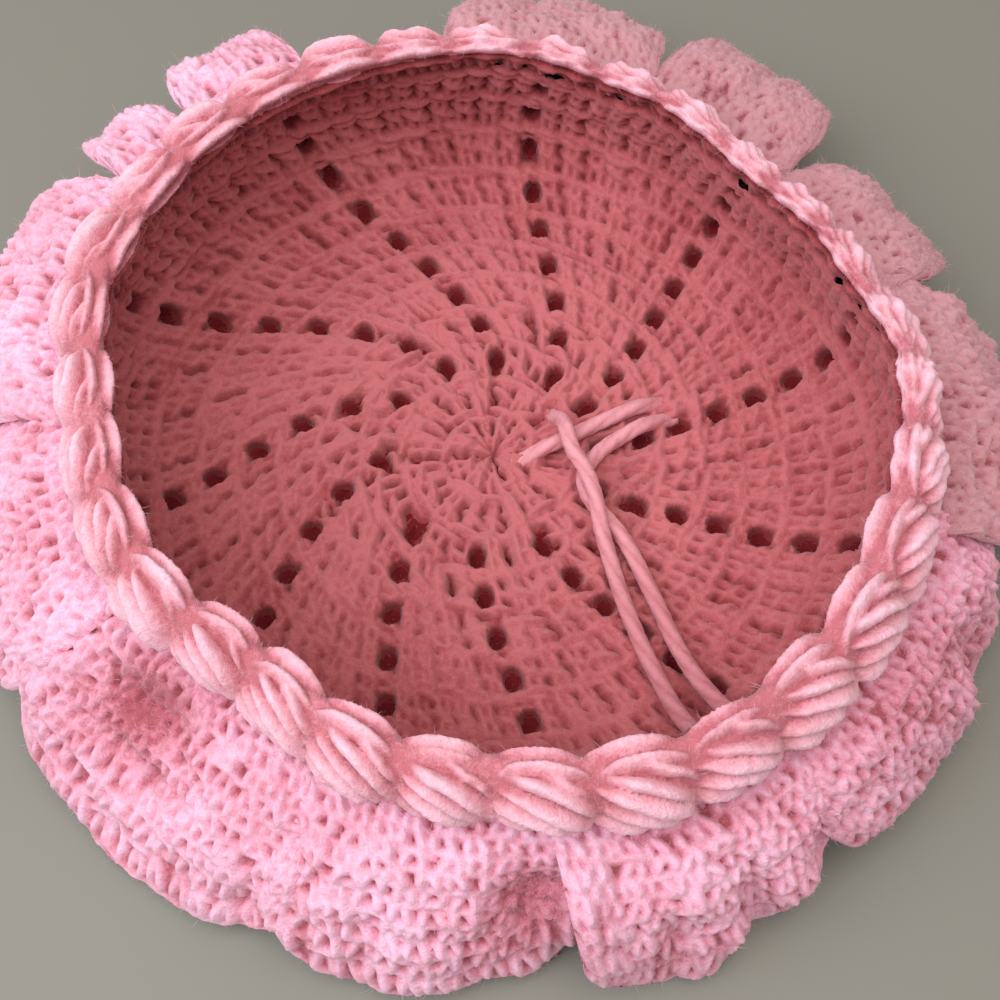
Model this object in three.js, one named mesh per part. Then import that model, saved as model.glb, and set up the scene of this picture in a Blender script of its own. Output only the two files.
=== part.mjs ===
import * as THREE from 'three';

// Sizes of the crown in millimetres, on its inside face, which is the one that shows
const crownWall = 4;
const floorRadius = 50;
const hollowRadius = 70.5;
const mouthLean = 1.3;
const mouthRadius = hollowRadius - mouthLean;
const bulgeHeight = 19;
const crownHeight = 29.5;
const magicRingRadius = 1.6;

// Sizes of the eyelets along the inside face from the middle, and of the whole strip past the last one
const firstEyeletRun = 21.5;
const topStrip = 2.2;
const eyeletWidth = 2.9;
const eyeletLength = 3.5;
const eyeletRounds = 9;

// Sizes of the puff round
const puffCount = 31;
const puffHeight = 12.2;
const puffThickness = 8;
const puffLean = 35;
const puffOverhang = 1.5;
const firstPuffAngle = 9.1;

// Sizes of the petals
const petalThickness = 3.6;
const petalLength = 25;
const petalRootDrop = 3.4;
const petalSideGap = 1.1;
const petalTuck = 9;
const tableGap = 0.4;

// Sizes of the loose yarn
const yarnDiameter = 3;

// Gaps between neighbouring pieces
const pieceGap = 0.3;
const rootGap = 0.8;

// Colours
const insidePink = { color: 0xcf7079, roughness: 0.95, metalness: 0 };
const outsidePink = { color: 0xf0a2ad, roughness: 0.95, metalness: 0 };
const strandPink = { color: 0xe08a92, roughness: 0.95, metalness: 0 };

// Plan of the opening: share of each piece's radius, and share of the crown's height added, by angle
const openingPlan = [
  { angle: 0, radius: 1.02, lift: 0 },
  { angle: 20, radius: 0.965, lift: -0.06 },
  { angle: 42, radius: 0.94, lift: -0.1 },
  { angle: 66, radius: 0.985, lift: -0.06 },
  { angle: 92, radius: 1.025, lift: 0 },
  { angle: 130, radius: 1.04, lift: 0 },
  { angle: 162, radius: 1.03, lift: 0 },
  { angle: 190, radius: 0.96, lift: 0 },
  { angle: 212, radius: 0.955, lift: 0 },
  { angle: 233, radius: 0.915, lift: -0.04 },
  { angle: 266, radius: 1.0, lift: 0 },
  { angle: 294, radius: 1.055, lift: 0 },
  { angle: 318, radius: 1.05, lift: 0 },
  { angle: 340, radius: 1.03, lift: 0 },
];

// The spiral lines of eyelets: angle of a line at its second, fifth and eighth eyelet
const eyeletLines = [
  { inner: 6.6, middle: 13.4, outer: 15 },
  { inner: 34.6, middle: 45.4, outer: 46.5 },
  { inner: 62.7, middle: 79.2, outer: 83.5 },
  { inner: 94.8, middle: 111.7, outer: 121 },
  { inner: 124.7, middle: 147.3, outer: 159.9 },
  { inner: 159.2, middle: 185.5, outer: 193 },
  { inner: 195.7, middle: 219, outer: 226 },
  { inner: 234.7, middle: 249.5, outer: 254 },
  { inner: 267.7, middle: 277.5, outer: 281 },
  { inner: 300.8, middle: 308.6, outer: 311 },
  { inner: 338.6, middle: 341, outer: 341.5 },
];

// The petals: the angle where each starts, and it ends where the next one starts. Reach is a share of the
// petal length, crest and foot are shares of the root's height for the crest and for the lift of the tip,
// side is the share of the length with straight sides, taper narrows the tip, and tuckA and tuckB are
// shares of the petal tuck at the first and the last edge
const petals = [
  { start: 342.2, reach: 1.05, crest: 1.1, foot: 0.06, side: 0.5, taper: 0.05, tuckA: 0.1, tuckB: 0.3 },
  { start: 17.2, reach: 1.08, crest: 1.1, foot: 0.18, side: 0.45, taper: 0.1, tuckA: 0.1, tuckB: 0.3 },
  { start: 41.2, reach: 1.36, crest: 1.15, foot: 0.33, side: 0.42, taper: 0.12, tuckA: 0.1, tuckB: 0.2 },
  { start: 66.2, reach: 1.28, crest: 1.05, foot: 0.33, side: 0.6, taper: 0.08, tuckA: 0.1, tuckB: 0.2 },
  { start: 96.2, reach: 0.78, crest: 0.9, foot: 0.02, side: 0.7, taper: 0.05, tuckA: 0.1, tuckB: 0.1 },
  { start: 116.2, reach: 1.12, crest: 1.2, foot: 0.6, side: 0.5, taper: 0.12, tuckA: 0.1, tuckB: 0.2 },
  { start: 134.2, reach: 1.1, crest: 1.15, foot: 0.45, side: 0.5, taper: 0.1, tuckA: 0.1, tuckB: 0.2 },
  { start: 146.6, reach: 1.24, crest: 1.1, foot: 0.16, side: 0.6, taper: 0.04, tuckA: 0.1, tuckB: 0.3 },
  { start: 183.2, reach: 1.14, crest: 1.0, foot: 0, side: 0.8, taper: 0, tuckA: 0.1, tuckB: 0.3 },
  { start: 211.8, reach: 1.16, crest: 0.95, foot: 0, side: 0.85, taper: 0, tuckA: 0.2, tuckB: 0.1 },
  { start: 248.2, reach: 1.0, crest: 1.0, foot: 0, side: 0.85, taper: 0, tuckA: 0, tuckB: 1 },
  { start: 278.4, reach: 0.96, crest: 1.0, foot: 0, side: 0.75, taper: 0.02, tuckA: 0, tuckB: 0.5 },
  { start: 306.6, reach: 0.9, crest: 1.05, foot: 0, side: 0.75, taper: 0, tuckA: 0.1, tuckB: 0.2 },
];

// Hollows and folds pressed into single petals: place across and along, widths and depth as shares
const dents = [
  { petal: 10, across: -0.1, along: 0.5, wide: 0.5, long: 0.25, depth: 0.9 },
  { petal: 6, across: 0.05, along: 0.6, wide: 0.16, long: 0.5, depth: 0.3 },
  { petal: 12, across: 0.3, along: 0.7, wide: 0.2, long: 0.4, depth: 0.3 },
];

// The loose yarn ends: angle, distance from the middle, and height above the floor of the crown
const yarnEnds = [
  {
    name: 'yarn_end_1',
    route: [
      { angle: 330, radius: 3.5, height: 0 },
      { angle: 355, radius: 7.6, height: 0 },
      { angle: 7, radius: 13.5, height: 0 },
      { angle: 15, radius: 22, height: 0 },
      { angle: 18, radius: 30.5, height: 0 },
      { angle: 19.6, radius: 37, height: 0 },
    ],
  },
  {
    name: 'yarn_end_2',
    route: [
      { angle: 37, radius: 14.8, height: 0.4 },
      { angle: 22, radius: 14.6, height: 3 },
      { angle: 5, radius: 14.4, height: 4 },
      { angle: 352, radius: 15.4, height: 3.8 },
      { angle: 341, radius: 18.4, height: 3.8 },
      { angle: 329, radius: 22.4, height: 3.4 },
      { angle: 319, radius: 27, height: 1.8 },
      { angle: 312.6, radius: 32.6, height: 0.3 },
      { angle: 307.6, radius: 39.5, height: 0 },
      { angle: 304, radius: 48.5, height: 0.4 },
      { angle: 302, radius: 56.5, height: 2.6 },
      { angle: 300.6, radius: 61.6, height: 7 },
      { angle: 300, radius: 63.8, height: 12.5 },
    ],
  },
  {
    name: 'yarn_end_3',
    route: [
      { angle: 13.6, radius: 37, height: 0 },
      { angle: 11, radius: 31.5, height: 0 },
      { angle: 6, radius: 25.5, height: 0 },
      { angle: 357.6, radius: 20.6, height: 0 },
      { angle: 343, radius: 18.4, height: 0 },
      { angle: 331.6, radius: 20.6, height: 0 },
      { angle: 322.8, radius: 30.4, height: 0 },
      { angle: 314.4, radius: 42, height: 0 },
      { angle: 309.8, radius: 51.5, height: 0.8 },
      { angle: 307.6, radius: 58.8, height: 3.6 },
      { angle: 306.4, radius: 62.6, height: 9 },
    ],
  },
];

// Shares that shape the curves: where a petal's crest lies between root and tip, how low and how thin
// the puff round gets between puffs, and how much of the plan's pull a petal's tip loses
const crestPlace = 0.68;
const puffWaistHeight = 0.76;
const puffWaistThickness = 0.6;
const tipRelease = 0.5;

// Eyelets of a line, counted from 0, at which the line's angles are given
const innerEyelet = 1;
const middleEyelet = 4;
const outerEyelet = 7;

// How finely the faces are divided
const fillColumns = 3;
const puffColumns = 4;
const puffSides = 8;
const petalColumns = 12;
const petalRows = 5;
const strandSides = 8;
const strandStep = 2.6;

const radians = THREE.MathUtils.degToRad;

// Value of a column of the opening's plan at an angle, eased from row to row
function planAt(column, angle) {
  const turned = ((angle % 360) + 360) % 360;
  const rows = openingPlan.length;
  const next = openingPlan.findIndex((row) => row.angle > turned);
  const after = next < 0 ? 0 : next;
  const before = (after + rows - 1) % rows;
  const low = openingPlan[before];
  const high = openingPlan[after];
  const span = (high.angle - low.angle + 360) % 360;
  const share = ((turned - low.angle + 360) % 360) / span;
  return THREE.MathUtils.lerp(low[column], high[column], THREE.MathUtils.smoothstep(share, 0, 1));
}

// Section of the inside face: flat floor, rounded side, then the wall that leans in to the mouth
function hollowSection() {
  const path = new THREE.CurvePath();
  const floorEnd = new THREE.Vector2(floorRadius, crownWall);
  const widest = new THREE.Vector2(hollowRadius, bulgeHeight);
  const upright = new THREE.Vector2(hollowRadius, (bulgeHeight + crownHeight) / 2);
  const mouth = new THREE.Vector2(mouthRadius, crownHeight);
  const sideWidth = hollowRadius - floorRadius;
  const sideHeight = bulgeHeight - crownWall;
  path.add(new THREE.LineCurve(new THREE.Vector2(0, crownWall), floorEnd));
  path.add(new THREE.EllipseCurve(floorRadius, bulgeHeight, sideWidth, sideHeight, -Math.PI / 2, 0));
  path.add(new THREE.QuadraticBezierCurve(widest, upright, mouth));
  return path;
}

const section = hollowSection();
const sectionRun = section.getLength();
const lastEyeletRun = sectionRun - topStrip - eyeletLength / 2;
const roundPitch = (lastEyeletRun - firstEyeletRun) / (eyeletRounds - 1);

// Radius and height at a run along the inside face and a depth into the fabric
function sectionPoint(run, depth) {
  const share = THREE.MathUtils.clamp(run / sectionRun, 0, 1);
  const point = section.getPoint(share);
  const along = section.getTangent(share);
  return { radius: point.x + depth * along.y, height: point.y - depth * along.x };
}

// Places a radius and height at an angle, pulled to the opening's plan by a share from 0 to 1
function placed(radius, height, angle, pull) {
  const turn = radians(angle);
  const pulled = radius * THREE.MathUtils.lerp(1, planAt('radius', angle), pull);
  const raised = height + crownHeight * planAt('lift', angle) * pull * pull;
  return new THREE.Vector3(pulled * Math.cos(turn), pulled * Math.sin(turn), raised);
}

// How far the fabric at a run follows the opening's plan: not at all on the floor, fully at the mouth
function pullAt(run) {
  return THREE.MathUtils.smoothstep(run, floorRadius, sectionRun);
}

// Collects corners and faces of one closed body
class Body {
  constructor() {
    this.corners = [];
    this.faces = [];
  }

  corner(point) {
    this.corners.push(point.x, point.y, point.z);
    return this.corners.length / 3 - 1;
  }

  quad(a, b, c, d) {
    this.faces.push(a, b, c, a, c, d);
  }

  geometry() {
    const built = new THREE.BufferGeometry();
    built.setAttribute('position', new THREE.Float32BufferAttribute(this.corners, 3));
    built.setIndex(this.faces);
    return built;
  }
}

// A sheet with thickness. Each face is a grid of corners, open cells are cut through, and every
// border between cloth and air gets an edge strip
function thickSheet(columns, rows, closedRound, frontPoint, backPoint, isOpen) {
  const body = new Body();
  const lines = closedRound ? columns : columns + 1;
  const front = [];
  const back = [];
  for (let i = 0; i < lines; i += 1) {
    front.push([]);
    back.push([]);
    for (let j = 0; j <= rows; j += 1) {
      front[i].push(body.corner(frontPoint(i, j)));
      back[i].push(body.corner(backPoint(i, j)));
    }
  }
  const wrap = (i) => (closedRound ? (i + columns) % columns : i);
  const cloth = (i, j) => {
    const inside = j >= 0 && j < rows && (closedRound || (i >= 0 && i < columns));
    return inside && !isOpen(wrap(i), j);
  };
  for (let i = 0; i < columns; i += 1) {
    for (let j = 0; j < rows; j += 1) {
      if (!cloth(i, j)) {
        continue;
      }
      const n = wrap(i + 1);
      body.quad(front[i][j], front[i][j + 1], front[n][j + 1], front[n][j]);
      body.quad(back[i][j], back[n][j], back[n][j + 1], back[i][j + 1]);
      if (!cloth(i, j - 1)) {
        body.quad(front[i][j], front[n][j], back[n][j], back[i][j]);
      }
      if (!cloth(i, j + 1)) {
        body.quad(front[i][j + 1], back[i][j + 1], back[n][j + 1], front[n][j + 1]);
      }
      if (!cloth(i - 1, j)) {
        body.quad(front[i][j], back[i][j], back[i][j + 1], front[i][j + 1]);
      }
      if (!cloth(i + 1, j)) {
        body.quad(front[n][j], front[n][j + 1], back[n][j + 1], back[n][j]);
      }
    }
  }
  return body.geometry();
}

// Angle of an eyelet line at a run along the inside face
function lineAngle(line, run) {
  const step = (run - firstEyeletRun) / roundPitch;
  const bent = Math.min(Math.max(step, 0), eyeletRounds);
  const early = (line.middle - line.inner) / (middleEyelet - innerEyelet);
  const late = (line.outer - line.middle) / (outerEyelet - middleEyelet);
  const ease = (late - early) / (outerEyelet - innerEyelet);
  return line.inner + (bent - innerEyelet) * (early + (bent - middleEyelet) * ease);
}

// Crown: columns follow the eyelet lines, and one narrow column on each line holds the eyelets
function crownGeometry() {
  const perLine = fillColumns + 1;
  const columns = eyeletLines.length * perLine;
  const runs = [magicRingRadius, firstEyeletRun / 3, (2 * firstEyeletRun) / 3];
  const firstOpenRow = runs.length;
  for (let n = 0; n < eyeletRounds; n += 1) {
    const middle = firstEyeletRun + n * roundPitch;
    runs.push(middle - eyeletLength / 2, middle + eyeletLength / 2);
  }
  runs.push(sectionRun);
  const rows = runs.length - 1;
  const angleAt = (i, j) => {
    const lineIndex = Math.floor(i / perLine);
    const place = i % perLine;
    const run = runs[j];
    const widest = sectionPoint(run, 0).radius;
    const half = THREE.MathUtils.radToDeg(eyeletWidth / 2 / Math.max(widest, firstEyeletRun));
    const here = lineAngle(eyeletLines[lineIndex], run);
    const following = eyeletLines[(lineIndex + 1) % eyeletLines.length];
    const gap = (lineAngle(following, run) - here + 360) % 360;
    return place === 0 ? here - half : here + half + ((place - 1) * (gap - 2 * half)) / fillColumns;
  };
  const point = (i, j, depth) => {
    const spot = sectionPoint(runs[j], depth);
    return placed(spot.radius, spot.height, angleAt(i, j), pullAt(runs[j]));
  };
  const isOpen = (i, j) => {
    const openRow = j >= firstOpenRow && (j - firstOpenRow) % 2 === 0 && j < rows - 1;
    return i % perLine === 0 && openRow;
  };
  return thickSheet(columns, rows, true, (i, j) => point(i, j, 0), (i, j) => point(i, j, crownWall), isOpen);
}

// Middle of the puff round's section, resting just above the crown's top edge
function puffCentre() {
  const topEdge = sectionPoint(sectionRun, crownWall);
  const lean = radians(puffLean);
  const halfHeight = puffHeight / 2;
  const halfThick = puffThickness / 2;
  const reachDown = Math.hypot(halfHeight * Math.cos(lean), halfThick * Math.sin(lean));
  const middle = sectionPoint(sectionRun, crownWall / 2).radius;
  return {
    radius: middle + puffOverhang - halfHeight * Math.sin(lean),
    height: topEdge.height + pieceGap + reachDown,
  };
}

// Puff round: an oval section that swells at each puff and narrows between them
function puffGeometry() {
  const body = new Body();
  const columns = puffCount * puffColumns;
  const centre = puffCentre();
  const lean = radians(puffLean);
  const rings = [];
  for (let i = 0; i < columns; i += 1) {
    const angle = firstPuffAngle + (i * 360) / columns;
    const swell = 0.5 + 0.5 * Math.cos((i / puffColumns) * 2 * Math.PI);
    const halfHeight = (puffHeight / 2) * THREE.MathUtils.lerp(puffWaistHeight, 1, swell);
    const halfThick = (puffThickness / 2) * THREE.MathUtils.lerp(puffWaistThickness, 1, swell);
    const ring = [];
    for (let k = 0; k < puffSides; k += 1) {
      const turn = (k / puffSides) * 2 * Math.PI;
      const up = halfHeight * Math.cos(turn);
      const out = halfThick * Math.sin(turn);
      const radius = centre.radius - up * Math.sin(lean) + out * Math.cos(lean);
      const height = centre.height + up * Math.cos(lean) + out * Math.sin(lean);
      ring.push(body.corner(placed(radius, height, angle, 1)));
    }
    rings.push(ring);
  }
  for (let i = 0; i < columns; i += 1) {
    const n = (i + 1) % columns;
    for (let k = 0; k < puffSides; k += 1) {
      const m = (k + 1) % puffSides;
      body.quad(rings[i][k], rings[i][m], rings[n][m], rings[n][k]);
    }
  }
  return body.geometry();
}

// Depth of all the dents of one petal at a place across and along it
function dentAt(number, across, along) {
  return dents
    .filter((dent) => dent.petal === number)
    .map((dent) => {
      const sideways = (across - dent.across) / dent.wide;
      const lengthways = (along - dent.along) / dent.long;
      return dent.depth * petalTuck * Math.exp(-sideways * sideways - lengthways * lengthways);
    })
    .reduce((sum, depth) => sum + depth, 0);
}

// Petal: springs from the root under the puffs, rolls over a crest and comes down to its foot
function petalGeometry(row, number) {
  const rootRun = sectionRun - petalRootDrop;
  const root = sectionPoint(rootRun, crownWall + rootGap);
  const rootRadius = root.radius;
  const rootHeight = root.height;
  const tipRadius = rootRadius + petalLength * row.reach;
  const foot = tableGap + petalThickness / 2 + rootHeight * row.foot;
  const crestRadius = THREE.MathUtils.lerp(rootRadius, tipRadius, crestPlace);
  const crestHeight = rootHeight * row.crest;
  const margin = THREE.MathUtils.radToDeg(petalSideGap / 2 / rootRadius);
  const following = petals[number % petals.length];
  const span = (following.start - row.start + 360) % 360;
  const start = row.start + margin;
  const end = row.start + span - margin;
  const middlePoint = (across, share) => {
    const roundOff = Math.sqrt(Math.max(0, 1 - across * across));
    const along = share * (row.side + (1 - row.side) * roundOff);
    const atRoot = (1 - along) * (1 - along);
    const atCrest = 2 * along * (1 - along);
    const atTip = along * along;
    const startSide = Math.pow((1 - across) / 2, 3) * row.tuckA;
    const endSide = Math.pow((1 + across) / 2, 3) * row.tuckB;
    const inward = petalTuck * (startSide + endSide) + dentAt(number, across, along);
    const tuck = inward * along * along;
    const radius = rootRadius * atRoot + crestRadius * atCrest + tipRadius * atTip - tuck;
    const height = rootHeight * atRoot + crestHeight * atCrest + foot * atTip;
    const narrowed = across * (1 - row.taper * along * along);
    const angle = THREE.MathUtils.lerp(start, end, (narrowed + 1) / 2);
    const floor = tableGap + petalThickness / 2;
    const pull = pullAt(rootRun) * (1 - tipRelease * along);
    return placed(radius, Math.max(height, floor), angle, pull);
  };
  const acrossAt = (i) => Math.sin(((i / petalColumns) * 2 - 1) * (Math.PI / 2));
  const nudge = 0.01;
  const faced = (i, j, side) => {
    const across = acrossAt(i) * (1 - nudge);
    const share = j / petalRows;
    const here = middlePoint(across, share);
    const sideways = middlePoint(across + nudge / 2, share).sub(middlePoint(across - nudge / 2, share));
    const onward = middlePoint(across, share + nudge).sub(middlePoint(across, share - nudge));
    const normal = sideways.cross(onward).normalize();
    const moved = here.clone().addScaledVector(normal, (side * petalThickness) / 2);
    moved.z = Math.max(moved.z, tableGap);
    return moved;
  };
  const front = (i, j) => faced(i, j, -1);
  const back = (i, j) => faced(i, j, 1);
  return thickSheet(petalColumns, petalRows, false, front, back, () => false);
}

// Loose yarn end: a round strand along its route over the floor of the crown
function strandGeometry(route) {
  const stops = route.map((stop) => {
    const turn = radians(stop.angle);
    const height = crownWall + pieceGap + yarnDiameter / 2 + stop.height;
    return new THREE.Vector3(stop.radius * Math.cos(turn), stop.radius * Math.sin(turn), height);
  });
  const path = new THREE.CatmullRomCurve3(stops, false, 'centripetal');
  const outline = new THREE.Shape();
  for (let k = 0; k < strandSides; k += 1) {
    const turn = (k / strandSides) * 2 * Math.PI;
    const x = (yarnDiameter / 2) * Math.cos(turn);
    const y = (yarnDiameter / 2) * Math.sin(turn);
    if (k === 0) {
      outline.moveTo(x, y);
    } else {
      outline.lineTo(x, y);
    }
  }
  const steps = Math.ceil(path.getLength() / strandStep);
  return new THREE.ExtrudeGeometry(outline, { steps, bevelEnabled: false, extrudePath: path });
}

// Adds one named piece to the hat
function addPiece(hat, name, geometry, look) {
  const piece = new THREE.Mesh(geometry, new THREE.MeshStandardMaterial(look));
  piece.name = name;
  hat.add(piece);
}

// The whole hat, moved so that its base is centred on the origin
function buildHat() {
  const hat = new THREE.Group();
  hat.name = 'flower_hat';
  addPiece(hat, 'crown', crownGeometry(), insidePink);
  addPiece(hat, 'puff_rim', puffGeometry(), outsidePink);
  petals.forEach((row, index) => {
    const number = index + 1;
    const name = `petal_${String(number).padStart(2, '0')}`;
    addPiece(hat, name, petalGeometry(row, number), outsidePink);
  });
  yarnEnds.forEach((strand) => {
    addPiece(hat, strand.name, strandGeometry(strand.route), strandPink);
  });
  const extent = new THREE.Box3().setFromObject(hat);
  const centre = extent.getCenter(new THREE.Vector3());
  hat.children.forEach((piece) => {
    piece.geometry.translate(-centre.x, -centre.y, -extent.min.z);
  });
  return hat;
}

export default buildHat();
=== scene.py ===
import math

import bpy
import numpy as np
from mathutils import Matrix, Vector


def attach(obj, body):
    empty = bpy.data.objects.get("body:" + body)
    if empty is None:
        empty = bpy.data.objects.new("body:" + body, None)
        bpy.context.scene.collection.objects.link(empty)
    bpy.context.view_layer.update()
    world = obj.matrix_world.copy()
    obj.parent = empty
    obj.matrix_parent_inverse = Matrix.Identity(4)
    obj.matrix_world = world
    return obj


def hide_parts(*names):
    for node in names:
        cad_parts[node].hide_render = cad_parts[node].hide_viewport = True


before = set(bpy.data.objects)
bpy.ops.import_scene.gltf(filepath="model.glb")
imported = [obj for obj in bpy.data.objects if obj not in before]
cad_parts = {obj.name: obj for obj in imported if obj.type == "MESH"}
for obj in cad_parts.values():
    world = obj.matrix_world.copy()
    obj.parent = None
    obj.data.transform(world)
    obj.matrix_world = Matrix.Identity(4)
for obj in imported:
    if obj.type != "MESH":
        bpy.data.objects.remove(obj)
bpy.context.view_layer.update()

# ---------------------------------------------------------------- sizes of the solids, in millimetres
MM = 0.001
HAT_CENTRE = np.array([1.724, -3.996, 0.0])
CROWN_WALL = 4.0
FLOOR_RADIUS = 50.0
HOLLOW_RADIUS = 70.5
MOUTH_RADIUS = 69.2
BULGE_HEIGHT = 19.0
CROWN_HEIGHT = 29.5
MAGIC_RING = 1.6
FIRST_EYELET = 21.5
TOP_STRIP = 2.2
EYELET_WIDTH = 2.9
EYELET_LENGTH = 3.5
EYELET_ROUNDS = 9
PUFF_COUNT = 31
PUFF_HEIGHT = 12.2
PUFF_THICKNESS = 8.0
PUFF_LEAN = math.radians(35)
PUFF_OVERHANG = 1.5
FIRST_PUFF = 9.1
PETAL_THICKNESS = 3.6
PETAL_LENGTH = 25.0
PETAL_ROOT_DROP = 3.4
PETAL_SIDE_GAP = 1.1
PETAL_TUCK = 9.0
TABLE_GAP = 0.4
YARN = 3.0
PIECE_GAP = 0.3
ROOT_GAP = 0.8
CREST_PLACE = 0.68
TIP_RELEASE = 0.5

# Opening seen from above: angle, share of the radius, share of the height
OPENING = np.array([
    (0, 1.02, 0), (20, 0.965, -0.06), (42, 0.94, -0.1), (66, 0.985, -0.06), (92, 1.025, 0),
    (130, 1.04, 0), (162, 1.03, 0), (190, 0.96, 0), (212, 0.955, 0), (233, 0.915, -0.04),
    (266, 1.0, 0), (294, 1.055, 0), (318, 1.05, 0), (340, 1.03, 0),
])

# Angle of each eyelet line at its second, fifth and eighth eyelet
LINES = np.array([
    (6.6, 13.4, 15), (34.6, 45.4, 46.5), (62.7, 79.2, 83.5), (94.8, 111.7, 121),
    (124.7, 147.3, 159.9), (159.2, 185.5, 193), (195.7, 219, 226), (234.7, 249.5, 254),
    (267.7, 277.5, 281), (300.8, 308.6, 311), (338.6, 341, 341.5),
])

# Petals: start angle, reach, crest, foot, side, taper, tuck at the first edge, tuck at the last edge
PETALS = np.array([
    (342.2, 1.05, 1.1, 0.06, 0.5, 0.05, 0.1, 0.3),
    (17.2, 1.08, 1.1, 0.18, 0.45, 0.1, 0.1, 0.3),
    (41.2, 1.36, 1.15, 0.33, 0.42, 0.12, 0.1, 0.2),
    (66.2, 1.28, 1.05, 0.33, 0.6, 0.08, 0.1, 0.2),
    (96.2, 0.78, 0.9, 0.02, 0.7, 0.05, 0.1, 0.1),
    (116.2, 1.12, 1.2, 0.6, 0.5, 0.12, 0.1, 0.2),
    (134.2, 1.1, 1.15, 0.45, 0.5, 0.1, 0.1, 0.2),
    (146.6, 1.24, 1.1, 0.16, 0.6, 0.04, 0.1, 0.3),
    (183.2, 1.14, 1.0, 0, 0.8, 0, 0.1, 0.3),
    (211.8, 1.16, 0.95, 0, 0.85, 0, 0.2, 0.1),
    (248.2, 1.0, 1.0, 0, 0.85, 0, 0, 1),
    (278.4, 0.96, 1.0, 0, 0.75, 0.02, 0, 0.5),
    (306.6, 0.9, 1.05, 0, 0.75, 0, 0.1, 0.2),
])

# Dents: petal number, place across and along, width across and along, depth
DENTS = [
    (10, -0.1, 0.5, 0.5, 0.25, 0.9),
    (6, 0.05, 0.6, 0.16, 0.5, 0.3),
    (12, 0.3, 0.7, 0.2, 0.4, 0.3),
]

# Loose yarn ends: name, what is at the far end, then angle, radius and height of each point of the route
YARN_ENDS = [
    ("yarn_end_1", "object", [
        (330, 3.5, 0), (355, 7.6, 0), (7, 13.5, 0), (15, 22, 0), (18, 30.5, 0), (19.6, 37, 0)]),
    ("yarn_end_2", "bare", [
        (37, 14.8, 0.4), (22, 14.6, 3), (5, 14.4, 4), (352, 15.4, 3.8), (341, 18.4, 3.8),
        (329, 22.4, 3.4), (319, 27, 1.8), (312.6, 32.6, 0.3), (307.6, 39.5, 0), (304, 48.5, 0.4),
        (302, 56.5, 2.6), (300.6, 61.6, 7), (300, 63.8, 12.5)]),
    ("yarn_end_3", "bare", [
        (13.6, 37, 0), (11, 31.5, 0), (6, 25.5, 0), (357.6, 20.6, 0), (343, 18.4, 0),
        (331.6, 20.6, 0), (322.8, 30.4, 0), (314.4, 42, 0), (309.8, 51.5, 0.8), (307.6, 58.8, 3.6),
        (306.4, 62.6, 9)]),
]

# ---------------------------------------------------------------- camera
IMAGE_PX = 1000.0
FOCAL_PX = 1300.0
SENSOR_MM = 36.0
CAMERA_AT = (0.003361, -0.116107, 0.227806)
CAMERA_DOWN = math.radians(65.5)
CLIP_START = 0.005

scene = bpy.context.scene
camera_data = bpy.data.cameras.new("camera")
camera_data.sensor_width = SENSOR_MM
camera_data.lens = SENSOR_MM * FOCAL_PX / IMAGE_PX
camera_data.clip_start = CLIP_START
camera = bpy.data.objects.new("camera", camera_data)
camera.location = CAMERA_AT
camera.rotation_euler = (math.pi / 2 - CAMERA_DOWN, 0, 0)
scene.collection.objects.link(camera)
scene.camera = camera

# ---------------------------------------------------------------- curves and tubes
rng = np.random.default_rng(7)
TINY = 1e-9


def smoothstep(value, low, high):
    share = np.clip((value - low) / (high - low), 0, 1)
    return share * share * (3 - 2 * share)


def run_along(points):
    """Length of a line of points up to each of them."""
    return np.concatenate([[0], np.cumsum(np.linalg.norm(np.diff(points, axis=0), axis=1))])


def polyline(points):
    return np.sum(np.linalg.norm(np.diff(points, axis=0), axis=1))


def centripetal(points, steps):
    """Points on a centripetal Catmull-Rom curve, steps for each stretch between two stops."""
    stops = np.asarray(points, float)
    ends = np.vstack([2 * stops[0] - stops[1], stops, 2 * stops[-1] - stops[-2]])
    out = []
    for i in range(1, len(ends) - 2):
        p0, p1, p2, p3 = ends[i - 1:i + 3]
        d0, d1, d2 = (max(np.linalg.norm(b - a), TINY) ** 0.5 for a, b in ((p0, p1), (p1, p2), (p2, p3)))
        t1 = ((p1 - p0) / d0 - (p2 - p0) / (d0 + d1) + (p2 - p1) / d1) * d1
        t2 = ((p2 - p1) / d1 - (p3 - p1) / (d1 + d2) + (p3 - p2) / d2) * d1
        for t in np.linspace(0, 1, steps, endpoint=False):
            c2 = -3 * p1 + 3 * p2 - 2 * t1 - t2
            c3 = 2 * p1 - 2 * p2 + t1 + t2
            out.append(p1 + t1 * t + c2 * t * t + c3 * t ** 3)
    return np.array(out + [stops[-1]])


def spline_weights(stops, count):
    """Matrix that turns a strand's stops into count points of a smooth curve through them."""
    rows = []
    for place in np.linspace(0, stops - 1, count):
        i = min(int(place), stops - 2)
        t = place - i
        w = np.array([-t + 2 * t**2 - t**3, 2 - 5 * t**2 + 3 * t**3, t + 4 * t**2 - 3 * t**3,
                      t**3 - t**2]) / 2
        row = np.zeros(stops + 2)
        row[i:i + 4] += w
        whole = row[1:-1].copy()
        whole[0] += 2 * row[0]
        whole[1] -= row[0]
        whole[-1] += 2 * row[-1]
        whole[-2] -= row[-1]
        rows.append(whole)
    return np.array(rows)


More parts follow.
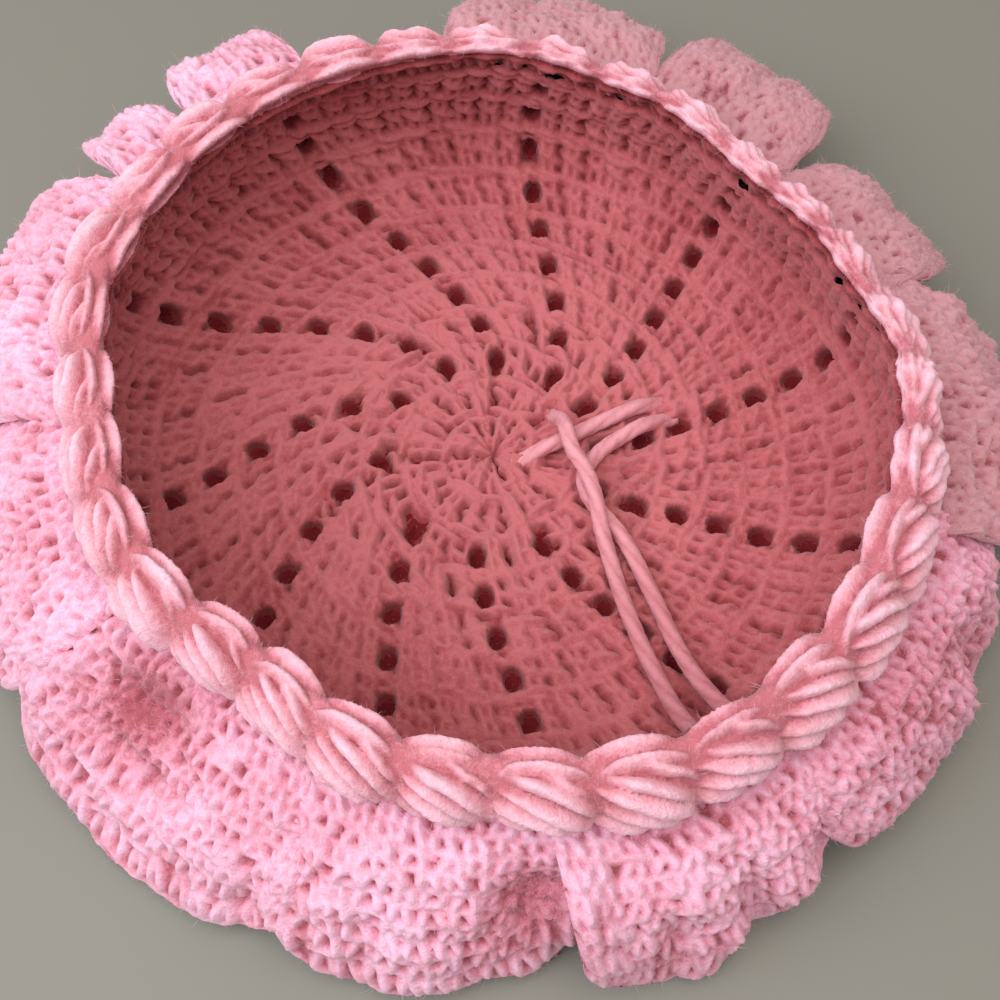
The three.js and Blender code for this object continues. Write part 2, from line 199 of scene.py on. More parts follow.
def mesh_object(name, points, blocks, uvs, material, smooth=True):
    """Makes the mesh object, in metres, from blocks of faces with the same number of corners."""
    used, packed = np.unique(np.concatenate([b.ravel() for b in blocks]), return_inverse=True)
    points = (points[used] + HAT_CENTRE) * MM
    sizes = np.concatenate([np.full(len(b), b.shape[1]) for b in blocks])
    mesh = bpy.data.meshes.new(name)
    mesh.vertices.add(len(points))
    mesh.vertices.foreach_set("co", points.astype(np.float32).ravel())
    mesh.loops.add(len(packed))
    mesh.loops.foreach_set("vertex_index", packed.ravel().astype(np.int32))
    mesh.polygons.add(len(sizes))
    mesh.polygons.foreach_set("loop_start", (np.cumsum(sizes) - sizes).astype(np.int32))
    mesh.polygons.foreach_set("use_smooth", np.full(len(sizes), smooth))
    corners = np.concatenate([u.reshape(-1, 2) for u in uvs])
    mesh.uv_layers.new(name="yarn").data.foreach_set("uv", corners.astype(np.float32).ravel())
    mesh.update(calc_edges=True)
    mesh.materials.append(material)
    made = bpy.data.objects.new(name, mesh)
    scene.collection.objects.link(made)
    return made


def dressed(piece, solid):
    """Says what a piece of the cloth rides on, and hides the solid it replaces."""
    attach(piece, "root")
    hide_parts(solid)
    return piece


# A tube of yarn: its sides, the length of its blunt ends in shares of the radius, the depth of the grooves
# between its plies, the length of a turn of the twist in mm, and the reach of the random start of its grain
TUBE_SIDES = 24
TUBE_BLUNT = 0.3
TUBE_GROOVE = 0.08
TUBE_LAY = 8.0
TUBE_GRAIN = 40
TUBE_UPWARD = np.array([0.31, 0.17, 0.93])


def yarn_tube(path, radius):
    """Points, faces and UV of a closed tube along a path in mm, grooved by the twist of three plies."""
    steps = np.diff(path, axis=0)
    behind = np.vstack([steps[:1], steps])
    tangent = np.vstack([steps, steps[-1:]]) + behind
    tangent /= np.linalg.norm(tangent, axis=1, keepdims=True)
    side = np.cross(tangent[0], TUBE_UPWARD)
    normals = np.empty_like(path)
    for i, way in enumerate(tangent):
        side = side - way * np.sum(side * way)
        side /= np.linalg.norm(side)
        normals[i] = side
    turn = np.arange(TUBE_SIDES)[:, None] * 2 * math.pi / TUBE_SIDES
    ring = normals[:, None] * np.cos(turn) + np.cross(tangent, normals)[:, None] * np.sin(turn)
    length = np.linalg.norm(behind, axis=1)
    along = np.cumsum(length) - length[0]
    twist = 3 / 2 * (turn.T + along[:, None] * 2 * math.pi / TUBE_LAY)
    wide = radius * (1 - TUBE_GROOVE * (1 - np.abs(np.cos(twist))))
    body = (path[:, None] + ring * wide[..., None]).reshape(-1, 3)
    ends = path[[0, -1]] + tangent[[0, -1]] * ([-1], [1]) * radius * TUBE_BLUNT
    i, k = np.meshgrid(np.arange(len(path) - 1), np.arange(TUBE_SIDES), indexing="ij")
    m = (k + 1) % TUBE_SIDES
    low, high = i * TUBE_SIDES, (i + 1) * TUBE_SIDES
    quads = np.stack([low + k, low + m, high + m, high + k], -1).reshape(-1, 4)
    along = along + rng.random() * TUBE_GRAIN
    u0, u1, v0, v1 = along[i], along[i + 1], k / TUBE_SIDES, (k + 1) / TUBE_SIDES
    uv = np.stack([np.stack(pair, -1) for pair in ((u0, v0), (u0, v1), (u1, v1), (u1, v0))], 2)
    k, m, cap, rim = k[0], m[0], np.full(TUBE_SIDES, len(body)), len(body) - TUBE_SIDES
    tris = np.concatenate([np.stack([cap, m, k], -1), np.stack([cap + 1, rim + k, rim + m], -1)])
    return np.vstack([body, ends]), [quads, tris], [uv, np.full((len(tris), 3, 2), along[0])]


# ---------------------------------------------------------------- shapes of the solids
def plan(angle):
    """Shares of the radius and of the height at an angle."""
    turned = np.mod(angle, 360)
    rows = len(OPENING)
    after = np.searchsorted(OPENING[:, 0], turned, side="right") % rows
    before = (after - 1) % rows
    span = np.mod(OPENING[after, 0] - OPENING[before, 0], 360)
    share = smoothstep(np.mod(turned - OPENING[before, 0], 360) / span, 0, 1)
    low, high = OPENING[before], OPENING[after]
    mixed = low[..., 1:] + (high[..., 1:] - low[..., 1:]) * share[..., None]
    return mixed[..., 0], mixed[..., 1]


def crown_section():
    """Inside face of the crown as run, radius, height and direction."""
    turn = np.linspace(-math.pi / 2, 0, 120)
    side = np.stack([FLOOR_RADIUS + (HOLLOW_RADIUS - FLOOR_RADIUS) * np.cos(turn),
                     BULGE_HEIGHT + (BULGE_HEIGHT - CROWN_WALL) * np.sin(turn)], 1)
    t = np.linspace(0, 1, 60)[:, None]
    middle = np.array([HOLLOW_RADIUS, (BULGE_HEIGHT + CROWN_HEIGHT) / 2])
    wall = ((1 - t) ** 2 * np.array([HOLLOW_RADIUS, BULGE_HEIGHT]) + 2 * t * (1 - t) * middle
            + t**2 * np.array([MOUTH_RADIUS, CROWN_HEIGHT]))
    line = np.stack([np.linspace(0, FLOOR_RADIUS, 60), np.full(60, CROWN_WALL)], 1)
    points = np.vstack([line, side[1:], wall[1:]])
    run = run_along(points)
    way = np.gradient(points, run, axis=0)
    return run, points, way / np.linalg.norm(way, axis=1, keepdims=True)


SECTION_RUN, SECTION, SECTION_WAY = crown_section()
FULL_RUN = SECTION_RUN[-1]
LAST_EYELET = FULL_RUN - TOP_STRIP - EYELET_LENGTH / 2
PITCH = (LAST_EYELET - FIRST_EYELET) / (EYELET_ROUNDS - 1)


def section_point(run, depth):
    r, h = (np.interp(run, SECTION_RUN, SECTION[:, i]) for i in (0, 1))
    wr, wh = (np.interp(run, SECTION_RUN, SECTION_WAY[:, i]) for i in (0, 1))
    over = np.maximum(run - FULL_RUN, 0)
    return r + depth * wh + over * wr, h - depth * wr + over * wh


def placed(radius, height, angle, pull):
    share, lift = plan(angle)
    pulled = radius * (1 + (share - 1) * pull)
    turn = np.radians(angle)
    return np.stack([pulled * np.cos(turn), pulled * np.sin(turn),
                     height + CROWN_HEIGHT * lift * pull * pull], -1)


def pull_at(run):
    return smoothstep(run, FLOOR_RADIUS, FULL_RUN)


def crown_point(run, depth, angle):
    radius, height = section_point(run, depth)
    return placed(radius, height, angle, pull_at(run))


def line_angle(index, run):
    """Angle of an eyelet line at a run; lines past the last one count on by a whole turn."""
    inner, middle, outer = LINES[index % len(LINES)]
    turns = 360 * (index // len(LINES))
    bent = np.clip((run - FIRST_EYELET) / PITCH, 0, EYELET_ROUNDS)
    early, late = (middle - inner) / 3, (outer - middle) / 3
    return turns + inner + (bent - 1) * (early + (bent - 4) * (late - early) / 6)


def puff_centre():
    _, top = section_point(FULL_RUN, CROWN_WALL)
    radius, _ = section_point(FULL_RUN, CROWN_WALL / 2)
    down = math.hypot(PUFF_HEIGHT / 2 * math.cos(PUFF_LEAN), PUFF_THICKNESS / 2 * math.sin(PUFF_LEAN))
    return radius + PUFF_OVERHANG - PUFF_HEIGHT / 2 * math.sin(PUFF_LEAN), top + PIECE_GAP + down


PUFF_RADIUS, PUFF_LEVEL = puff_centre()


def puff_point(angle, aside, up, out):
    """Point of the puff round: aside along the rim, up along its lean, out from its middle, in mm."""
    radius = PUFF_RADIUS - up * math.sin(PUFF_LEAN) + out * math.cos(PUFF_LEAN)
    height = PUFF_LEVEL + up * math.cos(PUFF_LEAN) + out * math.sin(PUFF_LEAN)
    return placed(radius, height, angle + np.degrees(aside / PUFF_RADIUS), np.ones_like(radius))


def spots(table, number, across, along):
    """Depth, and strength from 0 to 1, of each spot in a table that lies on a petal."""
    return [(depth, np.exp(-((across - x) / wide) ** 2 - ((along - y) / long) ** 2))
            for petal, x, y, wide, long, depth in table if petal == number]


def petal_middle(number, across, share):
    """Middle surface of a petal: across from -1 to 1, share from root 0 to tip 1."""
    start, reach, crest, foot_lift, side, taper, tuck_a, tuck_b = PETALS[number - 1]
    span = (PETALS[number % len(PETALS), 0] - start) % 360
    root_run = FULL_RUN - PETAL_ROOT_DROP
    root_r, root_h = section_point(root_run, CROWN_WALL + ROOT_GAP)
    tip_r = root_r + PETAL_LENGTH * reach
    floor = TABLE_GAP + PETAL_THICKNESS / 2
    foot = floor + root_h * foot_lift
    crest_r = root_r + (tip_r - root_r) * CREST_PLACE
    margin = math.degrees(PETAL_SIDE_GAP / 2 / root_r)
    round_off = np.sqrt(np.clip(1 - across**2, 0, None))
    along = share * (side + (1 - side) * round_off)
    at_root, at_crest, at_tip = (1 - along) ** 2, 2 * along * (1 - along), along**2
    inward = PETAL_TUCK * (((1 - across) / 2) ** 3 * tuck_a + ((1 + across) / 2) ** 3 * tuck_b)
    for depth, dent in spots(DENTS, number, across, along):
        inward = inward + depth * PETAL_TUCK * dent
    radius = root_r * at_root + crest_r * at_crest + tip_r * at_tip - inward * along**2
    height = root_h * at_root + root_h * crest * at_crest + foot * at_tip
    narrowed = across * (1 - taper * along**2)
    angle = start + margin + (span - 2 * margin) * (narrowed + 1) / 2
    pull = pull_at(root_run) * (1 - TIP_RELEASE * along)
    return placed(radius, np.maximum(height, floor), angle, pull)


ACROSS_END = 0.985  # Petals round off in an arc up to 1, where their sides have no direction


def petal_point(number, across, share, off):
    """Point off the middle surface of a petal, off above it in mm."""
    nudge = 0.01
    a = np.clip(across, -ACROSS_END, ACROSS_END)
    middle = petal_middle(number, a, share)
    edge = across - a
    sideways = petal_middle(number, a + nudge / 2, share) - petal_middle(number, a - nudge / 2, share)
    onward = petal_middle(number, a, share + nudge) - petal_middle(number, a, share - nudge)
    normal = np.cross(sideways, onward)
    normal /= np.maximum(np.linalg.norm(normal, axis=-1, keepdims=True), TINY)
    return middle - normal * off[..., None] + sideways / nudge * edge[..., None]


# ---------------------------------------------------------------- yarn materials
SHEEN = 0.35
SHEEN_TINT = (1.0, 0.82, 0.86, 1)
# Painted light, paler in the middle of the hat and darker towards its walls: distances from the middle of the
# hat in metres, where the paler yarn ends and where it is palest
PALE_END, PALE_FULL = 0.05, 0.018


class Shade:
    """A new material, with short ways to wire its nodes."""

    def __init__(self, name):
        self.material = bpy.data.materials.new(name)
        self.material.use_nodes = True
        self.tree = self.material.node_tree
        self.surface = self.tree.nodes["Principled BSDF"]

    def put(self, node, values):
        """Wires each socket in values to its input, and sets each number or colour on the input itself."""
        for key, value in values:
            if isinstance(value, bpy.types.NodeSocket):
                self.tree.links.new(value, node.inputs[key])
            else:
                node.inputs[key].default_value = value

    def node(self, kind, values=(), **settings):
        made = self.tree.nodes.new("ShaderNode" + kind)
        for key, value in settings.items():
            setattr(made, key, value)
        self.put(made, values)
        return made.outputs

    def math(self, operation, *values):
        return self.node("Math", enumerate(values), operation=operation)[0]

    def noise(self, place, scale, detail=2.0):
        return self.node("TexNoise", [("Scale", scale), ("Detail", detail), ("Vector", place)])[0]

    def place(self):
        return self.node("TexCoord")["Object"]

    def uv(self):
        return self.node("SeparateXYZ", [(0, self.node("UVMap", uv_map="yarn")[0])])

    def mixed(self, total, terms):
        """Sum of sockets, each times its weight, on top of a start value."""
        for socket, weight in terms:
            total = self.math("MULTIPLY_ADD", socket, weight, total)
        return total

    def blend(self, share, low, high):
        values = [("Factor", share), (6, (*low, 1)), (7, (*high, 1))]
        return self.node("Mix", values, data_type="RGBA")[2]

    def painted_light_middle(self, place):
        """Painted light: 1 in the middle of the hat, 0 further out towards the shaded walls."""
        distance = self.node("VectorMath", [(0, place)], operation="LENGTH")["Value"]
        values = [("From Min", PALE_END), ("From Max", PALE_FULL), ("Value", distance)]
        return self.node("MapRange", values)[0]

    def felt(self, colour, relief, bump, depth, sheen, sheen_roughness):
        """Matt fibre with a soft sheen and a bumpy relief. Returns the material."""
        bumps = self.node("Bump", [("Strength", bump), ("Distance", depth), ("Height", relief)])[0]
        self.put(self.surface, [
            ("Base Color", colour), ("Roughness", 1.0), ("Specular IOR Level", 0.0), ("Sheen Weight", sheen),
            ("Sheen Roughness", sheen_roughness), ("Sheen Tint", SHEEN_TINT), ("Normal", bumps)])
        return self.material


def yarn_material(name, dark, light, ply_pitch=5.5, bump=0.0, painted_light_centre=0.0):
    """Spun yarn: three plies from the tube's own UV, with painted shade in the grooves between them, fibre
    grain, and tone that drifts over the piece.
    """
    shade = Shade(name)
    along, around = shade.uv()[:2]
    phase = shade.math("ADD", shade.math("MULTIPLY", along, 2 * math.pi / ply_pitch),
                       shade.math("MULTIPLY", around, 2 * math.pi * 3))
    ply = shade.math("POWER", shade.math("MULTIPLY_ADD", shade.math("SINE", phase), 0.5, 0.5), 0.55)
    spin = shade.math("MULTIPLY_ADD", along, 1.0 / ply_pitch, around)
    lengthways = shade.node("CombineXYZ", [(0, shade.math("MULTIPLY", along, 0.55)),
                                           (1, shade.math("MULTIPLY", spin, 22.0))])[0]
    fibre = shade.noise(lengthways, 1.0, 3.0)
    place = shade.place()
    drift, speck = shade.noise(place, 55.0), shade.noise(place, 420.0)
    terms = [(ply, 0.25), (fibre, 0.3), (drift, 0.4), (speck, 0.25)]
    if painted_light_centre:
        terms.append((shade.painted_light_middle(place), painted_light_centre))
    colour = shade.blend(shade.mixed(-0.2, terms), dark, light)
    relief = shade.mixed(0.0, [(ply, 1.0), (fibre, 0.35)])
    return shade.felt(colour, relief, bump, 0.0004, SHEEN, 0.45)


def cloth_material(name, tones, bump=0.6, sheen=SHEEN, painted_light_centre=0.0, patchy=0.5):
    """Felted stitches: pockets deeper in tone than tops as painted shade, with fibre grain and tone that
    drifts.
    """
    shade = Shade(name)
    place = shade.place()
    speck, grain = shade.noise(place, 700.0, 3.0), shade.noise(place, 2600.0)
    terms = [(shade.uv()[0], 0.85), (shade.noise(place, 45.0), patchy), (speck, 0.7), (grain, 0.5)]
    if painted_light_centre:
        terms.append((shade.painted_light_middle(place), painted_light_centre))
    colour = shade.node("ValToRGB", [(0, shade.mixed(-0.6 - patchy / 2, terms))])[0]
    stops = colour.node.color_ramp.elements
    stops.new(0.45)
    for stop, tone in zip(stops, tones):
        stop.color = (*tone, 1)
    relief = shade.mixed(0.0, [(speck, 1.0), (grain, 0.6)])
    return shade.felt(colour, relief, bump, 0.0006, sheen, 0.5)


# Tones of each cloth: pockets, middle, tops; the deeper tones of the pockets are painted shade
# Inside of the crown and of the rim: the same pink yarn in darker, redder tones, painted shade
SHADED_INSIDE_CLOTH = cloth_material(
    "inside_cloth_shaded", [(0.205, 0.026, 0.031), (0.37, 0.073, 0.083), (0.56, 0.16, 0.177)], painted_light_centre=0.35)
OUTSIDE_CLOTH = cloth_material(
    "outside_cloth", [(0.46, 0.12, 0.16), (0.76, 0.32, 0.43), (0.93, 0.57, 0.76)], patchy=1.0)
# Petals at the back right: the same yarn in duller, darker tones, painted shade
SHADED_CLOTH = cloth_material("shaded_cloth", [(0.34, 0.09, 0.105), (0.54, 0.235, 0.27), (0.64, 0.34, 0.39)])
PUFF_CLOTH = cloth_material("puff_cloth", [(0.54, 0.16, 0.195), (0.81, 0.37, 0.45), (0.95, 0.59, 0.72)])
# Near-black red sheet behind the inside cloth and on the eyelets' walls: painted shade
SHADE_CORE = cloth_material(
    "shade_core", [(0.15, 0.014, 0.018), (0.18, 0.02, 0.023), (0.21, 0.028, 0.031)], bump=0.0, sheen=0.0)
# Loose yarn ends: darker tones as painted shade, paler towards the middle of the hat as painted light
LOOSE_YARN = yarn_material("loose_yarn", (0.44, 0.11, 0.13), (0.84, 0.38, 0.44), 9.0, 0.6, 0.4)
FUZZ_OUTSIDE = yarn_material("fuzz_outside", (0.88, 0.46, 0.58), (0.96, 0.60, 0.72))
# Fuzz of the inside and of the loose ends: the same yarn in darker tones, painted shade
SHADED_FUZZ = yarn_material("fuzz_shaded", (0.46, 0.12, 0.135), (0.62, 0.21, 0.23))

# ---------------------------------------------------------------- loose yarn ends
# How deep a tip sinks into the cloth and over what run, the height above which a tip ends at the wall, and
# the points of the curve in each stretch between two stops, all but the last in mm
TIP_SINK = 4.0
TIP_RUN = 9.0
WALL_END = 3.0
END_STEPS = 14


def loose_end(name, far_end, route):
    stops = [(r * math.cos(math.radians(a)), r * math.sin(math.radians(a)),
              CROWN_WALL + PIECE_GAP + YARN / 2 + h) for a, r, h in route]
    path = centripetal(stops, END_STEPS)
    run = run_along(path)
    from_end = np.minimum(run, run[-1] - run)
    sunk = TIP_SINK * (1 - smoothstep(from_end, 0, TIP_RUN))[:, None]
    last_angle, _, last_height = route[-1]
    outward = np.array([math.cos(math.radians(last_angle)), math.sin(math.radians(last_angle)), 0])
    at_wall = (run > run[-1] / 2) & (last_height > WALL_END)
    path += sunk * np.where(at_wall[:, None], outward, np.array([0.0, 0.0, -1.0]))
    piece = mesh_object(name + "_yarn", *yarn_tube(path, YARN / 2), LOOSE_YARN)
    dressed(piece, name)
    return piece


end_pieces = [loose_end(*end) for end in YARN_ENDS]

# ---------------------------------------------------------------- cloth: strands blended into one soft relief
# Sharpness of the blend between strands, reach of a strand in shares of its radius, and heights in mm of
# the relief inside an eyelet and in the pockets between strands
SOFTNESS = 5.0
SPREAD = 1.5
LOW = -2.9
POCKET = -1.9


def strand_samples(stops, count):
    """Points along a strand's smooth curve, and the share of its radius at each."""
    stops = np.array(stops)
    curve = np.einsum("pk,kc->pc", spline_weights(len(stops), count), stops)
    return curve, 0.75 + 0.25 * np.sin(np.linspace(0, math.pi, count)) ** 0.5


class Relief:
    """Height of overlapping strands above a grid of places on a surface, in mm."""

    def __init__(self, places, closed_round, closed_along=False, softness=SOFTNESS):
        self.places = places
        self.closed_round, self.closed_along = closed_round, closed_along
        self.softness = softness
        self.total = np.zeros(places.shape[:2])

    def add(self, points, columns, rows, heights, radii, reach, narrow=1.0):
        """Adds strand samples: places on the base, grid positions, heights and radii; narrow below 1 parts
        the strands with deeper grooves."""
        lines, count = self.total.shape
        near_i, near_j = np.rint(columns).astype(int), np.rint(rows).astype(int)
        for di in range(-reach[0], reach[0] + 1):
            for dj in range(-reach[1], reach[1] + 1):
                i, j = near_i + di, near_j + dj
                if self.closed_round:
                    i = i % lines
                if self.closed_along:
                    j = j % count
                fits = (i >= 0) & (i < lines) & (j >= 0) & (j < count)
                i, j, wide = i[fits], j[fits], radii[fits]
                away = np.sum((self.places[i, j] - points[fits]) ** 2, 1) / (wide * narrow) ** 2
                near = away < SPREAD**2
                rise = np.exp(self.softness * (heights[fits][near] + wide[near] * (1 - away[near])))
                where = i[near] * count + j[near]
                self.total += np.bincount(where, rise, lines * count).reshape(lines, count)

    def heights(self, low):
        return np.maximum(np.log(np.maximum(self.total, 1e-30)) / self.softness, low)


# Strands of one tall stitch: radius, then its stops: x in shares of the stitch's width, y in shares of the
# round, z in mm below the inside face
TALL = {
    "leg_a": (1.05, [(-0.04, -0.12, 2.0), (-0.19, 0.03, 1.2), (-0.21, 0.25, 0.95), (-0.15, 0.46, 1.0),
                     (-0.2, 0.66, 0.95), (-0.2, 0.85, 1.4), (-0.1, 0.95, 2.0)]),
    "leg_b": (1.05, [(0.08, -0.1, 2.0), (0.2, 0.06, 1.3), (0.2, 0.28, 1.0), (0.16, 0.5, 1.1),
                     (0.2, 0.7, 1.0), (0.2, 0.87, 1.4), (0.1, 0.96, 2.0)]),
    "wrap": (1.05, [(-0.5, 0.34, 1.6), (-0.26, 0.4, 1.0), (-0.03, 0.48, 0.6), (0.24, 0.56, 0.9),
                    (0.46, 0.66, 1.6)]),
    "bar": (1.0, [(-0.6, 0.88, 1.5), (-0.35, 0.85, 1.0), (-0.03, 0.83, 0.85), (0.28, 0.88, 1.0),
                  (0.5, 0.94, 1.5)]),
}
CHAIN = {
    "chain": (1.0, [(-0.62, 1.0, 1.7), (-0.35, 0.97, 1.0), (0.0, 1.0, 0.75), (0.33, 1.05, 1.1),
                    (0.55, 1.08, 1.9)]),
}
# Strands that close the cloth above and below an eyelet
BRIDGE = {
    "below": (0.95, [(-0.7, 0.84, 1.8), (-0.35, 0.82, 1.1), (0.0, 0.81, 0.95), (0.35, 0.83, 1.1),
                     (0.7, 0.86, 1.8)]),
    "above": (0.95, [(-0.7, 1.16, 1.8), (-0.35, 1.19, 1.3), (0.0, 1.2, 1.1), (0.35, 1.19, 1.3),
                     (0.7, 1.14, 1.8)]),
}
LOOSE_ROUNDS = 4
TALL_SAMPLES = 18
# Unevenness of the stitches: shift and lean of a stitch and shift of a strand, in shares of the stitch and
# mm of depth, how much of it the slack and the other rounds have, and the spread of the strands' radii
STITCH_SHIFT = np.array([0.03, 0.025, 0.16])
STITCH_LEAN = 0.06
STRAND_SHIFT = np.array([0.03, 0.02, 0.12])
SLACK_SHARE, FIRM_SHARE = 3.0, 1.3
STRAND_RADII = (0.85, 1.1)
# Width of a stitch in mm with strands of their full radius, their least and greatest share in other
# stitches, and their share over an eyelet
FULL_WIDTH = 3.8
THIN_SHARES = (0.55, 1.1)
OVER_EYELET = 0.95


def crown_cells(number):
    """Cells of a round: sector, place in the sector, count in the sector, and whether it is an eyelet."""
    stitches = {1: 1, 2: 2}.get(number, number - 1)
    cells = []
    for sector in range(len(LINES)):
        cells += [(sector, i, stitches, 0) for i in range(stitches)]
        if number > 2:
            cells.append((sector, 0, 1, 1))
    return np.array(cells)


def crown_round(number, found):
    """Adds samples (run, angle, depth, radius) of a round's strands to a list."""
    cells = crown_cells(number)
    inner = MAGIC_RING if number == 1 else FIRST_EYELET + (number - 3.5) * PITCH
    outer = FIRST_EYELET + (number - 2.5) * PITCH
    loose = SLACK_SHARE if number <= LOOSE_ROUNDS else FIRM_SHARE

    def mapped(which, table):
        n = len(which)
        over_eyelet = which[:, 3:4] == 1
        shift = rng.normal(0, 1, (n, 3)) * (STITCH_SHIFT * loose)
        lean = rng.normal(0, STITCH_LEAN * loose, (n, 1))
        for radius, stops in table.values():
            curve, fullness = strand_samples(stops, TALL_SAMPLES)
            local = curve[None] + shift[:, None] + rng.normal(0, 1, (n, 1, 3)) * STRAND_SHIFT * loose
            local[..., 0] += lean * (local[..., 1] - 0.5)
            run = inner + (outer - inner) * local[..., 1]
            low, high = (np.stack([line_angle(int(sector) + side, here)
                                   for sector, here in zip(which[:, 0], run)]) for side in (0, 1))
            half = np.degrees(EYELET_WIDTH / 2 / np.maximum(run, FIRST_EYELET)) * (number > 2)
            spread = np.where(over_eyelet, 0.0, (high - low - 2 * half) / which[:, 2:3])
            plain = low + half + spread * (which[:, 1:2] + 0.5 + local[..., 0])
            angle = np.where(over_eyelet, low + 2 * half * local[..., 0], plain)
            width = np.radians(np.where(over_eyelet, 2 * half, spread)) * np.maximum(run, 1.0)
            thin = np.where(over_eyelet, OVER_EYELET, np.clip(width / FULL_WIDTH, *THIN_SHARES))
            thick = radius * fullness[None] * thin * rng.uniform(*STRAND_RADII, (n, 1))
            found.append(np.stack([run, angle, local[..., 2], thick], -1).reshape(-1, 4))

    mapped(cells[cells[:, 3] == 0], TALL)
    mapped(cells, CHAIN)
    if number > 2:
        mapped(cells[cells[:, 3] == 1], BRIDGE)


def finished(cloth, name, material, solid, smooth=True):
    """Piece of cloth from its points in mm, blocks of faces, and relief from 0 to 1 at each point as its
    tone, low where shade is painted. Without a solid it is fuzz, which only rides on the hat."""
    points, blocks, relief = cloth
    mark = np.stack([relief, np.zeros(len(points))], 1)
    piece = mesh_object(name, points, blocks, [mark[block] for block in blocks], material, smooth)
    if solid is None:
        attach(piece, "root")
        return piece
    return dressed(piece, solid)

def grid_faces(columns, rows, closed_round, start=0):
    """Corners of the quads of a grid whose points run along the rows first."""
    across = columns if closed_round else columns - 1
    i, j = np.meshgrid(np.arange(across), np.arange(rows - 1), indexing="ij")
    k = (i + 1) % columns
    quads = np.stack([i * rows + j, i * rows + j + 1, k * rows + j + 1, k * rows + j], -1)
    return quads.reshape(-1, 4) + start


# Grid of the crown's relief: bands of rows, each with twice the columns of the one before, and the share of
# their radius that the strands in each are narrowed to
BAND_STARTS = [0.02, 4.6, 9.2, 18.4, 36.8]
BAND_COLUMNS = [56, 112, 224, 448, 896]
BAND_NARROW = [0.66, 0.66, 0.7, 0.76, 0.84]
BAND_OVERLAP = 2.5
ROW_STEP = 0.48
# Reach of a strand in columns and rows of the grid, and the same in the first band
RELIEF_REACH = (6, 5)
CENTRE_REACH = (28, 6)
# The dimple in the middle: radius and depth
DIMPLE = (3.2, 1.5)
# Half-sizes of an eyelet, where its edge flares out to, and how much darker its wall is painted, as painted
# shade
EYELET_OVAL = (1.5, 1.85)
EYELET_FLARE = 1.35
EYELET_TONE = 0.7
FLOOR_SPLIT = 62.0
ROUGHNESS = 0.06
UNDER_RIM = 1.6
# Deeper pockets in the slack middle: runs between which they end, and how much deeper they are
SLACK_RUN = (28.0, 40.0)
SLACK_DEPTH = 0.9
# Painted shade in the pockets: height of the relief at which the tone is deepest, and its height from
# there to the palest
DEEPEST, TONE_HEIGHT = -2.2, 2.3


def eyelet_share(run, angle):
    """How far a place is inside an eyelet: 0 outside, 1 within its oval."""
    share = np.zeros(run.shape)
    for n in range(EYELET_ROUNDS):
        middle = FIRST_EYELET + n * PITCH
        for line in range(len(LINES)):
            turn = (angle - line_angle(line, np.float64(middle)) + 180) % 360 - 180
            away = np.hypot(np.radians(turn) * run / EYELET_OVAL[0], (run - middle) / EYELET_OVAL[1])
            share = np.maximum(share, smoothstep(-away, -EYELET_FLARE, -1.0))
    return share


def crown_relief(samples):
    """Points, faces and relief of the inside of the crown, as its floor and its side."""
    ends = BAND_STARTS[1:] + [FULL_RUN + UNDER_RIM]
    run_s, angle_s, depth_s, radius_s = samples.T
    lifted = crown_point(run_s, np.zeros_like(run_s), angle_s)
    rows = []
    for start, end, columns, narrow in zip(BAND_STARTS, ends, BAND_COLUMNS, BAND_NARROW):
        last = end == ends[-1]
        count = int(round((end - start) / ROW_STEP))
        runs = np.linspace(start, end, count + 1) if last else np.linspace(start, end, count, endpoint=False)
        step = runs[1] - runs[0]
        angles = np.arange(columns) * 360 / columns
        run, angle = np.meshgrid(runs, angles)
        relief = Relief(crown_point(run, np.zeros_like(run), angle), True)
        here = (run_s > start - BAND_OVERLAP) & (run_s < end + BAND_OVERLAP)
        relief.add(lifted[here], angle_s[here] * columns / 360, (run_s[here] - start) / step,
                   -depth_s[here], radius_s[here], CENTRE_REACH if start < 1 else RELIEF_REACH, narrow)
        slack = 1 - smoothstep(run, *SLACK_RUN)
        height = relief.heights(POCKET - SLACK_DEPTH)
        height = np.maximum(height, POCKET - SLACK_DEPTH * slack) + rng.normal(0, ROUGHNESS, run.shape)
        height -= DIMPLE[1] * np.clip(1 - run / DIMPLE[0], 0, 1) ** 1.5
        hole = eyelet_share(run, angle)
        height = height * (1 - hole) + LOW * hole
        place = crown_point(run, -height, angle)
        rows += [(value, place[:, j], height[:, j], hole[:, j]) for j, value in enumerate(runs)]
    return rows


def relief_piece(rows):
    """Cloth from rows of the crown's grid, without the faces inside an eyelet."""
    points, height, hole = (np.concatenate([row[n] for row in rows]) for n in (1, 2, 3))
    start, quads, tris = 0, [], []
    for here, following in zip(rows, rows[1:]):
        n, m = len(here[1]), len(following[1])
        i = np.arange(n)
        k = (i + 1) % n
        after = start + n
        if n == m:
            quads.append(np.stack([start + i, after + i, after + k, start + k], 1))
        else:
            tris += [np.stack([start + i, after + 2 * i, after + 2 * i + 1], 1),
                     np.stack([start + i, after + 2 * i + 1, start + k], 1),
                     np.stack([start + k, after + 2 * i + 1, after + 2 * k], 1)]
        start = after
    blocks = [b[~np.all(hole[b] >= 1, axis=1)] for b in quads + tris]
    # Tone deeper low in the relief and inside the eyelets: painted shade
    return points, blocks, np.clip((height - DEEPEST) / TONE_HEIGHT, 0, 1) - EYELET_TONE * hole


# Inner sheet that closes the cloth behind its strands, with its front and the eyelets' walls dark as painted
# shade: depths of its faces, cells between eyelet lines, and the share of an eyelet left open at its back
CORE_DEPTH = (2.75, 3.9)
CORE_CELLS = 8
BACK_SHARE = 0.04
BACK_TONE = 0.4
